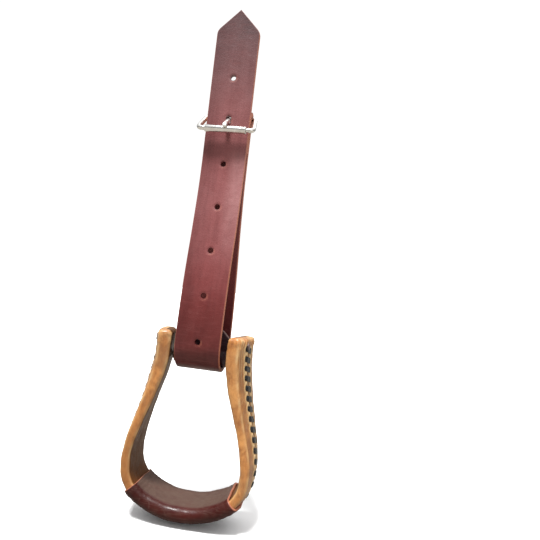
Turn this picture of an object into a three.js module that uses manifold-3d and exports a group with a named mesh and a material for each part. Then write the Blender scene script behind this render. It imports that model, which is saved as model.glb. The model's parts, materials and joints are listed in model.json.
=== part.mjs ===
// A Western bell stirrup hanging in the loop of its buckled strap: bent wood under laced rawhide,
// a leather-wrapped tread, and a leather-covered bolt that turns in the bottom of the loop.
// Millimetres, +Z up, +X along the bolt, the front towards -Y.
// The origin is the centre of the tread's upper face.

import * as THREE from 'three';
import { mergeVertices } from 'three/addons/utils/BufferGeometryUtils.js';
import Module from 'manifold-3d';

const wasm = await Module();
wasm.setup();

// ---------------------------------------------------------------- driving dimensions

const GAP = 0.3; // between neighbouring pieces
const OVERRUN = 1; // how far a cutter, or an end that merges, runs past the surface it meets
const BOLT_HEIGHT = 160; // bolt axis above the tread

// Strap, with heights measured from the bolt axis.
const STRAP_WIDTH = 50.8;
const STRAP_THICKNESS = 5;
const STRAP_TIP_Z = 405;
const POINT_HEIGHT = 25.4;
const BILLET_Y = -6; // middle of the straight front layer
const BILLET_STRAIGHT_Z = 235; // the front layer is straight above this
const LOOP_RADIUS = 27; // bottom of the loop, to the middle of the leather
const LOOP_EASE = 90; // how far the loop's sides stay upright before they draw together
const HOLE_DIAMETER = 6.5;
const HOLE_PITCH = 50.8;
const HOLES_ABOVE_TONGUE = 1;
const HOLES_BELOW_TONGUE = 5;
const WORN_HOLE_STRETCH = 3.2; // the hole in use is pulled taller

// Fold of the strap round the buckle's pivot bar.
const PIVOT_Z = 281;
const TONGUE_HOLE_Z = PIVOT_Z - 8;
const FOLD_GAP = 0.4; // between the rear layer and the tail
const TAIL_LENGTH = 43; // below the pivot
const REAR_STRAIGHT_Z = 225; // the rear layer is straight above this, up to the fold
const FOLD_FLARE = 15; // height over which the rear layer swells round the bar
const SLOT_WIDTH = 7;
const SLOT_DEPTH = 11; // below the pivot
const RIVET_DROP = 21; // below the pivot
const RIVET_X = 12;

// Rivets.
const RIVET_SHANK = 3.4;
const RIVET_HEAD = 9.5;
const RIVET_HEAD_THICKNESS = 1.1;
const BURR_THICKNESS = 1.2;
const PEEN_DIAMETER = 5.6;
const PEEN_HEIGHT = 1.2;

// Buckle, drawn lying forwards from its pivot bar.
const WIRE_DIAMETER = 5.5;
const FRAME_INSIDE = 52.4;
const FRAME_FLARE = 3.5; // each side, at the roller end
const FRAME_LENGTH = 31; // pivot bar to roller bar
const FRAME_CORNER = 5;
const FRAME_DROP = 43.5; // degrees below level, at rest
const ROLLER_BAR = 5;
const ROLLER_DIAMETER = 8;
const ROLLER_LENGTH = 48;
const TONGUE_DIAMETER = 4.4;
const TONGUE_LENGTH = 34.5;
const TONGUE_DROP = 31.2;
const TONGUE_RING_WALL = 2.1;
const TONGUE_RING_WIDTH = 6;

// Bolt, sleeve and leather cover.
const BOLT_DIAMETER = 8;
const BOLT_HOLE = 8.6;
const HEX_ACROSS_FLATS = 12.7;
const HEX_HEIGHT = 3.2;
const WASHER_DIAMETER = 17;
const WASHER_THICKNESS = 1;
const COUNTERBORE = 18;
const COUNTERBORE_FLOOR = 43.9; // from the middle of the bolt
const SLEEVE_OUTER = 12;
const SLEEVE_INNER = 8.8;
const SLEEVE_LENGTH = 68;
const COVER_THICKNESS = 3;
const COVER_WIDTH = 63;
const COVER_TOP = 32;
const COVER_CHAMFER = 10;
const COVER_FILLET = 5;
const COVER_RIVET_Z = 23;

// Bent frame: the right half of its centreline, from the leg top down, as [x, height from the bolt].
const BELL = [
  [43.5, 26], [43.5, 8], [44, -4], [46, -17], [53.7, -50], [62, -80],
  [66.3, -100], [67.7, -118], [64.5, -137], [54, -151.8], [24, -166],
];
const BELL_BOTTOM = -168.9;
const NECK_THICKNESS = 11.8;
const TREAD_THICKNESS = 7.2;
const TAPER_TOP = -5; // the wood thins between these heights
const TAPER_BOTTOM = -75;
const WOOD_DEPTH = 46.6;
const WOOD_CROWN = 2.2; // bulge of the outer face
const CROWN_FLAT = 10; // half-width of the level strip that carries the lacing
const CORNER_RADIUS = 3.5;
const LEG_LEAN = 11.5; // degrees the outer faces turn towards the front at the leg tops
const LEAN_TOP = 5; // the turn grows between these heights
const LEAN_BOTTOM = -160;
const STATION_GAPS = 47; // odd, which leaves a flat facet at the middle of the tread
const TURN_WEIGHT = 60; // millimetres of straight frame that count as much as a radian of turn

// Rawhide and its lacing.
const RAWHIDE_THICKNESS = 1.4;
const SEAM_WIDTH = 1.6;
const LACE_WIDTH = 5.5;
const LACE_THICKNESS = 1;
const LACE_GAP = 0.35;
const LACE_REACH = 6.75; // from the seam to each row of slots
const LACE_SLANT = 4; // drop of each stitch from one row to the other
const GROOVE_EASE = 0.3; // extra depth where the lace cuts the corner of the hips
const STITCH_PITCH = 11.4;
const STITCH_COUNT = 15;
const FIRST_STITCH = 10; // from the leg top

// Leather round the tread.
const LEATHER_THICKNESS = 3.2;
const LEATHER_HALF_ARC = 63; // along the frame, either side of the middle
const LEATHER_SEAM = 1.2;
const TREAD_STITCH_COUNT = 9;
const TREAD_STITCH_PITCH = 12;
const TREAD_LACE_WIDTH = 4;
const SLOTTED_SKIN = 1.4; // leather left over the channel that hides the lace

// Growth of the frame's section out to each surface of its coverings.
const RAWHIDE_INSIDE = GAP;
const RAWHIDE_OUTSIDE = RAWHIDE_INSIDE + RAWHIDE_THICKNESS;
const LEATHER_INSIDE = RAWHIDE_OUTSIDE + GAP;
const LEATHER_OUTSIDE = LEATHER_INSIDE + LEATHER_THICKNESS;

// Places worked out from the dimensions above.
const TAIL_Y = BILLET_Y + STRAP_THICKNESS + 2 * GAP;
const EYE_RADIUS = WIRE_DIAMETER / 2 + GAP + STRAP_THICKNESS / 2;
const PIVOT_Y = TAIL_Y + EYE_RADIUS;
const REAR_Y = TAIL_Y + STRAP_THICKNESS + FOLD_GAP;
const COVER_INNER = SLEEVE_OUTER / 2 + GAP;
const LOOP_CENTRE_Z = LOOP_RADIUS - STRAP_THICKNESS / 2 - COVER_INNER - COVER_THICKNESS - GAP;

const FINISHES = {
  strapLeather: { color: 0x70403d, roughness: 0.42, metalness: 0 },
  coverLeather: { color: 0x4d2b33, roughness: 0.4, metalness: 0 },
  treadLeather: { color: 0x6a3a33, roughness: 0.38, metalness: 0 },
  rawhide: { color: 0xc79a5c, roughness: 0.4, metalness: 0 },
  wood: { color: 0xb98a55, roughness: 0.7, metalness: 0 },
  lace: { color: 0x1d1c1e, roughness: 0.5, metalness: 0 },
  nickel: { color: 0xd9d9d6, roughness: 0.18, metalness: 1 },
  steel: { color: 0x9a9a98, roughness: 0.35, metalness: 1 },
  copper: { color: 0xe0976a, roughness: 0.3, metalness: 1 },
};

// ---------------------------------------------------------------- solids and booleans

function toSolid(geometry) {
  const bare = geometry.clone();
  bare.deleteAttribute('normal');
  bare.deleteAttribute('uv');
  const merged = mergeVertices(bare, 1e-4);
  return new wasm.Manifold(new wasm.Mesh({
    numProp: 3,
    vertProperties: new Float32Array(merged.attributes.position.array),
    triVerts: new Uint32Array(merged.index.array),
  }));
}

function toGeometry(solid) {
  const mesh = solid.getMesh();
  const geometry = new THREE.BufferGeometry();
  geometry.setAttribute('position', new THREE.BufferAttribute(mesh.vertProperties, 3));
  geometry.setIndex(new THREE.BufferAttribute(mesh.triVerts, 1));
  geometry.computeVertexNormals();
  return geometry;
}

function cut(geometry, cutters) {
  let solid = toSolid(geometry);
  for (const cutter of cutters) solid = solid.subtract(toSolid(cutter));
  return toGeometry(solid);
}

function join(geometries) {
  const [first, ...others] = geometries;
  let solid = toSolid(first);
  for (const other of others) solid = solid.add(toSolid(other));
  return toGeometry(solid);
}

function trim(geometry, envelope) {
  return toGeometry(toSolid(geometry).intersect(toSolid(envelope)));
}

function piece(name, geometry, finish) {
  const mesh = new THREE.Mesh(geometry, new THREE.MeshStandardMaterial(FINISHES[finish]));
  mesh.name = name;
  return mesh;
}

// ---------------------------------------------------------------- basic shapes

function box(x, y, z, at) {
  return new THREE.BoxGeometry(x, y, z).translate(at.x, at.y, at.z);
}

// Round bar along X between two ends.
function barX(diameter, fromX, toX, sides = 24) {
  const length = toX - fromX;
  const bar = new THREE.CylinderGeometry(diameter / 2, diameter / 2, length, sides);
  return bar.rotateZ(-Math.PI / 2).translate(fromX + length / 2, 0, 0);
}

// Round bar along Y between two ends, at a given x and z.
function barY(diameter, fromY, toY, x, z, sides = 16) {
  const length = toY - fromY;
  const bar = new THREE.CylinderGeometry(diameter / 2, diameter / 2, length, sides);
  return bar.translate(x, fromY + length / 2, z);
}

// Ring round the X axis.
function ringX(outer, inner, fromX, toX, sides = 24) {
  return cut(barX(outer, fromX, toX, sides), [barX(inner, fromX - OVERRUN, toX + OVERRUN, sides)]);
}

// Extrusion of a side view, drawn as (y, z), across the given width along X.
function extrudeAcross(shape, width) {
  const geometry = new THREE.ExtrudeGeometry(shape, { depth: width, bevelEnabled: false });
  const sideways = new THREE.Matrix4().makeBasis(
    new THREE.Vector3(0, 1, 0), new THREE.Vector3(0, 0, 1), new THREE.Vector3(1, 0, 0),
  );
  return geometry.applyMatrix4(sideways).translate(-width / 2, 0, 0);
}

// Extrusion of a front view, drawn as (x, z), through the given depth along Y.
function extrudeThrough(shape, depth) {
  const geometry = new THREE.ExtrudeGeometry(shape, { depth, bevelEnabled: false });
  return geometry.rotateX(Math.PI / 2).translate(0, depth / 2, 0);
}

// Closed outline of a band of even thickness that follows a side-view path.
function bandShape(path, divisions, thickness) {
  const line = path.getPoints(divisions);
  const left = [];
  const right = [];
  for (let i = 0; i < line.length; i += 1) {
    const before = line[Math.max(i - 1, 0)];
    const after = line[Math.min(i + 1, line.length - 1)];
    const along = after.clone().sub(before).normalize();
    const across = new THREE.Vector2(-along.y, along.x).multiplyScalar(thickness / 2);
    left.push(line[i].clone().add(across));
    right.push(line[i].clone().sub(across));
  }
  return new THREE.Shape([...right, ...left.reverse()]);
}

// Closed body through a run of sections. Each section is an outline in its own plane with a
// matrix that places it; outlines run counter-clockwise about the direction of travel.
function loft(sections) {
  const count = sections[0].outline.length;
  const positions = [];
  const faces = [];
  for (const { outline, place } of sections) {
    for (const point of outline) {
      positions.push(...new THREE.Vector3(point.x, point.y, 0).applyMatrix4(place));
    }
  }
  for (let ring = 0; ring < sections.length - 1; ring += 1) {
    for (let j = 0; j < count; j += 1) {
      const a = ring * count + j;
      const b = ring * count + (j + 1) % count;
      faces.push(a, b, b + count, a, b + count, a + count);
    }
  }
  const last = (sections.length - 1) * count;
  for (const [a, b, c] of THREE.ShapeUtils.triangulateShape(sections[0].outline, [])) {
    faces.push(c, b, a);
    faces.push(last + a, last + b, last + c);
  }
  const geometry = new THREE.BufferGeometry();
  geometry.setAttribute('position', new THREE.Float32BufferAttribute(positions, 3));
  geometry.setIndex(faces);
  geometry.computeVertexNormals();
  return geometry;
}

// ---------------------------------------------------------------- strap and its fold

// Side view of the middle of the leather: down the billet, round the loop, up the rear layer,
// over the buckle bar and down the tail.
function strapPath() {
  const path = new THREE.Path();
  const flareZ = PIVOT_Z - FOLD_FLARE;
  const eyeRearY = PIVOT_Y + EYE_RADIUS;
  path.moveTo(BILLET_Y, STRAP_TIP_Z);
  path.lineTo(BILLET_Y, BILLET_STRAIGHT_Z);
  path.bezierCurveTo(
    BILLET_Y, BILLET_STRAIGHT_Z - LOOP_EASE, -LOOP_RADIUS, LOOP_CENTRE_Z + LOOP_EASE,
    -LOOP_RADIUS, LOOP_CENTRE_Z,
  );
  path.absarc(0, LOOP_CENTRE_Z, LOOP_RADIUS, Math.PI, 2 * Math.PI, false);
  path.bezierCurveTo(
    LOOP_RADIUS, LOOP_CENTRE_Z + LOOP_EASE, REAR_Y, REAR_STRAIGHT_Z - LOOP_EASE,
    REAR_Y, REAR_STRAIGHT_Z,
  );
  path.lineTo(REAR_Y, flareZ);
  path.bezierCurveTo(
    REAR_Y, flareZ + FOLD_FLARE / 2, eyeRearY, PIVOT_Z - FOLD_FLARE / 2, eyeRearY, PIVOT_Z,
  );
  path.absarc(PIVOT_Y, PIVOT_Z, EYE_RADIUS, 0, Math.PI, false);
  path.lineTo(TAIL_Y, PIVOT_Z - TAIL_LENGTH);
  return path;
}

function strapSilhouette() {
  const half = STRAP_WIDTH / 2;
  const bottom = LOOP_CENTRE_Z - 2 * LOOP_RADIUS;
  return new THREE.Shape([
    new THREE.Vector2(-half, bottom),
    new THREE.Vector2(half, bottom),
    new THREE.Vector2(half, STRAP_TIP_Z - POINT_HEIGHT),
    new THREE.Vector2(0, STRAP_TIP_Z),
    new THREE.Vector2(-half, STRAP_TIP_Z - POINT_HEIGHT),
  ]);
}

// Drills reach through the front layer only.
function billetHoles() {
  const holes = [];
  const behindFront = BILLET_Y + STRAP_THICKNESS / 2 + GAP;
  const farFront = -2 * LOOP_RADIUS;
  for (let step = -HOLES_BELOW_TONGUE; step <= HOLES_ABOVE_TONGUE; step += 1) {
    holes.push(barY(HOLE_DIAMETER, farFront, behindFront, 0, TONGUE_HOLE_Z + step * HOLE_PITCH));
  }
  const depth = behindFront - farFront;
  const middleY = (behindFront + farFront) / 2;
  const stretchedZ = TONGUE_HOLE_Z + WORN_HOLE_STRETCH;
  const stretch = new THREE.Vector3(0, middleY, TONGUE_HOLE_Z + WORN_HOLE_STRETCH / 2);
  holes.push(barY(HOLE_DIAMETER, farFront, behindFront, 0, stretchedZ));
  holes.push(box(HOLE_DIAMETER, depth, WORN_HOLE_STRETCH, stretch));
  return holes;
}

// Slot over the top of the fold, where the tongue's ring sits.
function tongueSlot() {
  const front = TAIL_Y - STRAP_THICKNESS / 2 - GAP;
  const back = PIVOT_Y + 2 * EYE_RADIUS;
  const roundZ = PIVOT_Z - SLOT_DEPTH + SLOT_WIDTH / 2;
  const top = PIVOT_Z + 2 * EYE_RADIUS;
  const middle = new THREE.Vector3(0, (front + back) / 2, (roundZ + top) / 2);
  return [
    box(SLOT_WIDTH, back - front, top - roundZ, middle),
    barY(SLOT_WIDTH, front, back, 0, roundZ),
  ];
}

// Shank holes through the fold, with a shallow seat that sinks each rivet head into the tail.
function rivetHoles() {
  const front = TAIL_Y - STRAP_THICKNESS / 2;
  const back = REAR_Y + STRAP_THICKNESS / 2;
  const seat = front + RIVET_HEAD_THICKNESS + GAP;
  const z = PIVOT_Z - RIVET_DROP;
  return [-RIVET_X, RIVET_X].flatMap((x) => [
    barY(RIVET_SHANK + 2 * GAP, front - GAP, back + GAP, x, z),
    barY(RIVET_HEAD + 2 * GAP, front - GAP, seat, x, z),
  ]);
}

function strap() {
  const band = extrudeAcross(bandShape(strapPath(), 8, STRAP_THICKNESS), STRAP_WIDTH);
  const pointed = trim(band, extrudeThrough(strapSilhouette(), 4 * LOOP_RADIUS));
  const geometry = cut(pointed, [...billetHoles(), ...tongueSlot(), ...rivetHoles()]);
  return piece('strap', geometry, 'strapLeather');
}

// Rivet with its flat head in front and its end peened over a burr behind, round the Y axis.
function rivetPair(name, headY, burrY, finish) {
  const burrBack = burrY + BURR_THICKNESS;
  const peenBack = burrBack + GAP + PEEN_HEIGHT;
  const rivet = join([
    barY(RIVET_HEAD, headY, headY + RIVET_HEAD_THICKNESS, 0, 0),
    barY(RIVET_SHANK, headY, peenBack, 0, 0),
    barY(PEEN_DIAMETER, burrBack + GAP, peenBack, 0, 0),
  ]);
  const burr = cut(
    barY(RIVET_HEAD, burrY, burrBack, 0, 0),
    [barY(RIVET_SHANK + 2 * GAP, burrY - OVERRUN, burrBack + OVERRUN, 0, 0)],
  );
  return [piece(name, rivet, finish), piece(name.replace('rivet', 'rivet_burr'), burr, finish)];
}

function strapRivets() {
  const headY = TAIL_Y - STRAP_THICKNESS / 2;
  const burrY = REAR_Y + STRAP_THICKNESS / 2 + GAP;
  const group = new THREE.Group();
  for (const [side, x] of [['left', -RIVET_X], ['right', RIVET_X]]) {
    const pair = rivetPair(`strap_rivet_${side}`, headY, burrY, 'copper');
    for (const mesh of pair) mesh.position.set(x, 0, PIVOT_Z - RIVET_DROP);
    group.add(...pair);
  }
  return group;
}

// ---------------------------------------------------------------- buckle

// Wire path from one end of the roller round the pivot bar to the other end.
function framePath() {
  const pivotX = (FRAME_INSIDE + WIRE_DIAMETER) / 2;
  const outerX = pivotX + FRAME_FLARE;
  const at = (x, y) => new THREE.Vector3(x, y, 0);
  const outerY = -FRAME_LENGTH;
  const path = new THREE.CurvePath();
  const stub = ROLLER_LENGTH / 2 + GAP;
  const right = [
    at(stub, outerY), at(outerX - FRAME_CORNER, outerY), at(outerX, outerY),
    at(outerX, outerY + FRAME_CORNER), at(pivotX, -FRAME_CORNER), at(pivotX, 0),
    at(pivotX - FRAME_CORNER, 0),
  ];
  const left = right.map((point) => at(-point.x, point.y)).reverse();
  const addHalf = (p) => {
    path.add(new THREE.LineCurve3(p[0], p[1]));
    path.add(new THREE.QuadraticBezierCurve3(p[1], p[2], p[3]));
    path.add(new THREE.LineCurve3(p[3], p[4]));
    path.add(new THREE.QuadraticBezierCurve3(p[4], p[5], p[6]));
  };
  addHalf(right);
  path.add(new THREE.LineCurve3(right[6], left[0]));
  path.add(new THREE.QuadraticBezierCurve3(left[0], left[1], left[2]));
  path.add(new THREE.LineCurve3(left[2], left[3]));
  path.add(new THREE.QuadraticBezierCurve3(left[3], left[4], left[5]));
  path.add(new THREE.LineCurve3(left[5], left[6]));
  return path;
}

function buckleFrame() {
  const wire = new THREE.Shape().absarc(0, 0, WIRE_DIAMETER / 2, 0, 2 * Math.PI, false);
  const loop = new THREE.ExtrudeGeometry(wire, {
    extrudePath: framePath(), steps: 44, curveSegments: 5, bevelEnabled: false,
  });
  const barEnd = ROLLER_LENGTH / 2 + OVERRUN;
  const bar = barX(ROLLER_BAR, -barEnd, barEnd, 16).translate(0, -FRAME_LENGTH, 0);
  return piece('buckle_frame', join([loop, bar]), 'nickel');
}

function buckleRoller() {
  const half = ROLLER_LENGTH / 2;
  const tube = ringX(ROLLER_DIAMETER, ROLLER_BAR + 2 * GAP, -half, half);
  return piece('buckle_roller', tube.translate(0, -FRAME_LENGTH, 0), 'nickel');
}

// Ring round the pivot bar with a straight shank forwards and a rounded tip.
function buckleTongue() {
  const inner = WIRE_DIAMETER + 2 * GAP;
  const outer = inner + 2 * TONGUE_RING_WALL;
  const radius = TONGUE_DIAMETER / 2;
  const half = TONGUE_RING_WIDTH / 2;
  const ring = barX(outer, -half, half);
  const shank = barY(TONGUE_DIAMETER, -TONGUE_LENGTH + radius, -inner / 2, 0, 0);
  const tip = new THREE.SphereGeometry(radius, 16, 8).translate(0, -TONGUE_LENGTH + radius, 0);
  const bore = barX(inner, -half - OVERRUN, half + OVERRUN);
  return piece('buckle_tongue', cut(join([ring, shank, tip]), [bore]), 'steel');
}

function buckle() {
  const group = new THREE.Group();
  const frame = new THREE.Group();
  const tongue = new THREE.Group();
  frame.add(buckleFrame(), buckleRoller());
  frame.rotation.x = THREE.MathUtils.degToRad(FRAME_DROP);
  tongue.add(buckleTongue());
  tongue.rotation.x = THREE.MathUtils.degToRad(TONGUE_DROP);
  group.add(frame, tongue);
  group.position.set(0, PIVOT_Y, PIVOT_Z);
  return group;
}

// ---------------------------------------------------------------- bolt, sleeve and cover

// Side view of the cover's leather: down the front ply, round the sleeve, up the rear ply.
function coverPath() {
  const plyY = (COVER_THICKNESS + GAP) / 2;
  const wrap = COVER_INNER + COVER_THICKNESS / 2;
  const filletY = plyY + COVER_FILLET;
  const filletZ = Math.sqrt((wrap + COVER_FILLET) ** 2 - filletY ** 2);
  const lean = Math.atan2(filletZ, filletY); // where fillet and wrap meet, seen from the bolt
  const path = new THREE.Path();
  path.moveTo(-plyY, COVER_TOP);
  path.absarc(-filletY, filletZ, COVER_FILLET, 0, -lean, true);
  path.absarc(0, 0, wrap, Math.PI - lean, 2 * Math.PI + lean, false);
  path.absarc(filletY, filletZ, COVER_FILLET, Math.PI + lean, Math.PI, true);
  path.lineTo(plyY, COVER_TOP);
  return path;
}

function coverSilhouette() {
  const half = COVER_WIDTH / 2;
  const bottom = -2 * SLEEVE_OUTER;
  return new THREE.Shape([
    new THREE.Vector2(-half, bottom),
    new THREE.Vector2(half, bottom),
    new THREE.Vector2(half, COVER_TOP - COVER_CHAMFER),
    new THREE.Vector2(half - COVER_CHAMFER, COVER_TOP),
    new THREE.Vector2(-half + COVER_CHAMFER, COVER_TOP),
    new THREE.Vector2(-half, COVER_TOP - COVER_CHAMFER),
  ]);
}

function boltCover() {
  const band = extrudeAcross(bandShape(coverPath(), 6, COVER_THICKNESS), COVER_WIDTH);
  const cornered = trim(band, extrudeThrough(coverSilhouette(), 4 * SLEEVE_OUTER));
  const reach = COVER_THICKNESS + OVERRUN;
  const hole = barY(RIVET_SHANK + 2 * GAP, -reach, reach, 0, COVER_RIVET_Z);
  return piece('bolt_cover', cut(cornered, [hole]), 'coverLeather');
}

function coverRivet() {
  const face = COVER_THICKNESS + 1.5 * GAP;
  const pair = rivetPair('cover_rivet', -face - RIVET_HEAD_THICKNESS, face, 'nickel');
  for (const mesh of pair) mesh.position.z = COVER_RIVET_Z;
  return pair;
}

function boltSleeve() {
  const half = SLEEVE_LENGTH / 2;
  return piece('bolt_sleeve', ringX(SLEEVE_OUTER, SLEEVE_INNER, -half, half), 'steel');
}

function hexAcross(fromX, toX) {
  return barX(HEX_ACROSS_FLATS / Math.cos(Math.PI / 6), fromX, toX, 6);
}

// Bolt with its head in the right leg and its nut in the left, over washers on the wood.
function boltParts() {
  const washerIn = COUNTERBORE_FLOOR + GAP;
  const washerOut = washerIn + WASHER_THICKNESS;
  const hexIn = washerOut + GAP;
  const hexOut = hexIn + HEX_HEIGHT;
  const bolt = join([barX(BOLT_DIAMETER, -hexOut, hexIn + OVERRUN), hexAcross(hexIn, hexOut)]);
  const thread = barX(BOLT_HOLE, -hexOut - OVERRUN, -hexIn + OVERRUN);
  const nut = cut(hexAcross(-hexOut, -hexIn), [thread]);
  return [
    piece('stirrup_bolt', bolt, 'steel'),
    piece('bolt_nut', nut, 'steel'),
    piece('bolt_washer_right', ringX(WASHER_DIAMETER, BOLT_HOLE, washerIn, washerOut), 'steel'),
    piece('bolt_washer_left', ringX(WASHER_DIAMETER, BOLT_HOLE, -washerOut, -washerIn), 'steel'),
  ];
}

// ---------------------------------------------------------------- bent frame and its skins

const bell = bellCurve();
const bellLength = bell.getLength();
const bellMiddle = bellLength / 2;

// Centreline from the left leg top, across the tread, to the right leg top.
function bellCurve() {
  const right = BELL.map(([x, z]) => new THREE.Vector3(x, 0, z)).reverse();
  const left = BELL.map(([x, z]) => new THREE.Vector3(-x, 0, z));
  return new THREE.CatmullRomCurve3([...left, new THREE.Vector3(0, 0, BELL_BOTTOM), ...right]);
}

// Distances at which the frame is sectioned, closer together where the centreline turns.
function bellStations() {
  const samples = 1000;
  const progress = [0];
  let before = bell.getTangentAt(0);
  for (let i = 1; i <= samples; i += 1) {
    const after = bell.getTangentAt(i / samples);
    progress.push(progress[i - 1] + bellLength / samples + TURN_WEIGHT * before.angleTo(after));
    before = after;
  }
  const list = [];
  for (let gap = 0; gap <= STATION_GAPS; gap += 1) {
    const target = (progress[samples] * gap) / STATION_GAPS;
    const sample = Math.max(progress.findIndex((value) => value >= target), 1);
    const step = progress[sample] - progress[sample - 1];
    list.push(((sample - (progress[sample] - target) / step) * bellLength) / samples);
  }
  return list;
}

const stations = bellStations();

// Stations between two distances, with those two as the first and last.
function stationsBetween(from, to) {
  const inner = stations.filter((distance) => distance > from + 1 && distance < to - 1);
  return [from, ...inner, to];
}

// Local axes at a distance along the centreline: outwards, along the depth, and onwards.
// The legs are turned about the centreline, which brings their laced faces towards the front.
function bellFrame(distance) {
  const inside = THREE.MathUtils.clamp(distance, 0, bellLength);
  const onwards = bell.getTangentAt(inside / bellLength);
  const point = bell.getPointAt(inside / bellLength).addScaledVector(onwards, distance - inside);
  const level = new THREE.Vector3(0, 1, 0);
  const flat = new THREE.Vector3().crossVectors(level, onwards);
  const rise = THREE.MathUtils.smoothstep(point.z, LEAN_BOTTOM, LEAN_TOP);
  const turn = new THREE.Matrix4().makeRotationZ(-THREE.MathUtils.degToRad(LEG_LEAN) * rise);
  return new THREE.Matrix4().makeBasis(flat, level, onwards).multiply(turn).setPosition(point);
}

function woodThickness(distance) {
  const height = new THREE.Vector3().setFromMatrixPosition(bellFrame(distance)).z;
  const neck = THREE.MathUtils.smoothstep(height, TAPER_BOTTOM, TAPER_TOP);
  return THREE.MathUtils.lerp(TREAD_THICKNESS, NECK_THICKNESS, neck);
}

// Section of the frame: rounded corners, and an outer face that rises to a level strip.
function frameSection(distance, grow) {
  const u = woodThickness(distance) / 2 + grow;
  const v = WOOD_DEPTH / 2 + grow;
  const r = Math.max(CORNER_RADIUS + grow, GAP);
  const shape = new THREE.Shape();
  shape.moveTo(u + WOOD_CROWN, -CROWN_FLAT);
  shape.lineTo(u + WOOD_CROWN, CROWN_FLAT);
  shape.absarc(u - r, v - r, r, 0, Math.PI / 2, false);
  shape.absarc(-u + r, v - r, r, Math.PI / 2, Math.PI, false);
  shape.absarc(-u + r, -v + r, r, Math.PI, 1.5 * Math.PI, false);
  shape.absarc(u - r, -v + r, r, 1.5 * Math.PI, 2 * Math.PI, false);
  return { outline: shape.getPoints(1), place: bellFrame(distance) };
}

// The whole bent frame with its surface moved outwards by `grow`, ends rounded over.
function frameSolid(grow) {
  const endRadius = CORNER_RADIUS + grow;
  const endAngles = [0, Math.PI / 5, Math.PI / 2];
  const start = endAngles.map((angle) => ({
    distance: -grow + endRadius * (1 - Math.cos(angle)),
    inset: endRadius * (1 - Math.sin(angle)),
  }));
  const inner = stationsBetween(CORNER_RADIUS, bellLength - CORNER_RADIUS).slice(1, -1);
  const middle = inner.map((distance) => ({ distance, inset: 0 }));
  const end = start.map(({ distance, inset }) => ({ distance: bellLength - distance, inset }));
  const rings = [...start, ...middle, ...end.reverse()];
  return loft(rings.map(({ distance, inset }) => frameSection(distance, grow - inset)));
}

// Strip of the section round the middle of the outer face, between two heights above the wood.
function outerStrip(from, to, halfWidth, low, high) {
  const sections = [];
  for (const distance of stationsBetween(from, to)) {
    const face = woodThickness(distance) / 2 + WOOD_CROWN;
    const outline = [
      new THREE.Vector2(face + low, -halfWidth),
      new THREE.Vector2(face + high, -halfWidth),
      new THREE.Vector2(face + high, halfWidth),
      new THREE.Vector2(face + low, halfWidth),
    ];
    sections.push({ outline, place: bellFrame(distance) });
  }
  return loft(sections);
}

// ---------------------------------------------------------------- lacing

// Where a lace runs: stitches along the outer face, how wide it is, and the skin it closes.
function lacing(firstDistance, pitch, count, width, skinInside, skinOutside) {
  return { firstDistance, pitch, count, width, skinInside, skinOutside };
}

// Corner of a lace that crosses the outer face at a distance along the frame.
function laceCorner(distance, height, across, along) {
  const u = woodThickness(distance) / 2 + WOOD_CROWN + height;
  return new THREE.Vector3(u, across, along).applyMatrix4(bellFrame(distance));
}

// Flat strip wound through the slots: over the seam, down, back underneath, and up again.
function laceStrip({ firstDistance, pitch, count, width, skinInside, skinOutside }) {
  const above = skinOutside + LACE_GAP + LACE_THICKNESS / 2;
  const below = skinInside - LACE_GAP - LACE_THICKNESS / 2;
  const turns = [];
  for (let i = 0; i < count; i += 1) {
    const near = firstDistance + i * pitch;
    const far = near + LACE_SLANT;
    turns.push({ distance: near, side: 1, over: -1 }, { distance: near, side: 1, over: 1 });
    turns.push({ distance: far, side: -1, over: 1 }, { distance: far, side: -1, over: -1 });
  }
  const half = LACE_THICKNESS / 2;
  const positions = [];
  for (const { distance, side, over } of turns) {
    const height = over > 0 ? above : below;
    for (const [outer, along] of [[-1, 1], [1, 1], [1, -1], [-1, -1]]) {
      const across = side * (LACE_REACH + outer * half);
      positions.push(laceCorner(distance, height + outer * over * half, across, along * width / 2));
    }
  }
  return closedStrip(positions);
}

// Body through successive rings of four corners.
function closedStrip(corners) {
  const faces = [];
  const last = corners.length - 4;
  for (let ring = 0; ring < last; ring += 4) {
    for (let j = 0; j < 4; j += 1) {
      const a = ring + j;
      const b = ring + (j + 1) % 4;
      faces.push(a, b + 4, b, a, a + 4, b + 4);
    }
  }
  faces.push(0, 1, 2, 0, 2, 3);
  faces.push(last, last + 2, last + 1, last, last + 3, last + 2);
  const geometry = new THREE.BufferGeometry().setFromPoints(corners);
  geometry.setIndex(faces);
  geometry.computeVertexNormals();
  return geometry;
}

// Slots for the lace, cut only through the skin.
function laceSlots({ firstDistance, pitch, count, width, skinInside, skinOutside }) {
  const slots = [];
  const long = width + 2 * GAP;
  const wide = LACE_THICKNESS + 2 * GAP;
  const tall = skinOutside - skinInside + 2 * GAP;
  for (let i = 0; i < count; i += 1) {
    for (const side of [-1, 1]) {
      const distance = firstDistance + i * pitch + (side < 0 ? LACE_SLANT : 0);
      const face = woodThickness(distance) / 2 + WOOD_CROWN;
      const middle = face + (skinInside + skinOutside) / 2;
      const slot = box(tall, wide, long, new THREE.Vector3(middle, side * LACE_REACH, 0));
      slots.push(slot.applyMatrix4(bellFrame(distance)));
    }
  }
  return slots;
}

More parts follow.
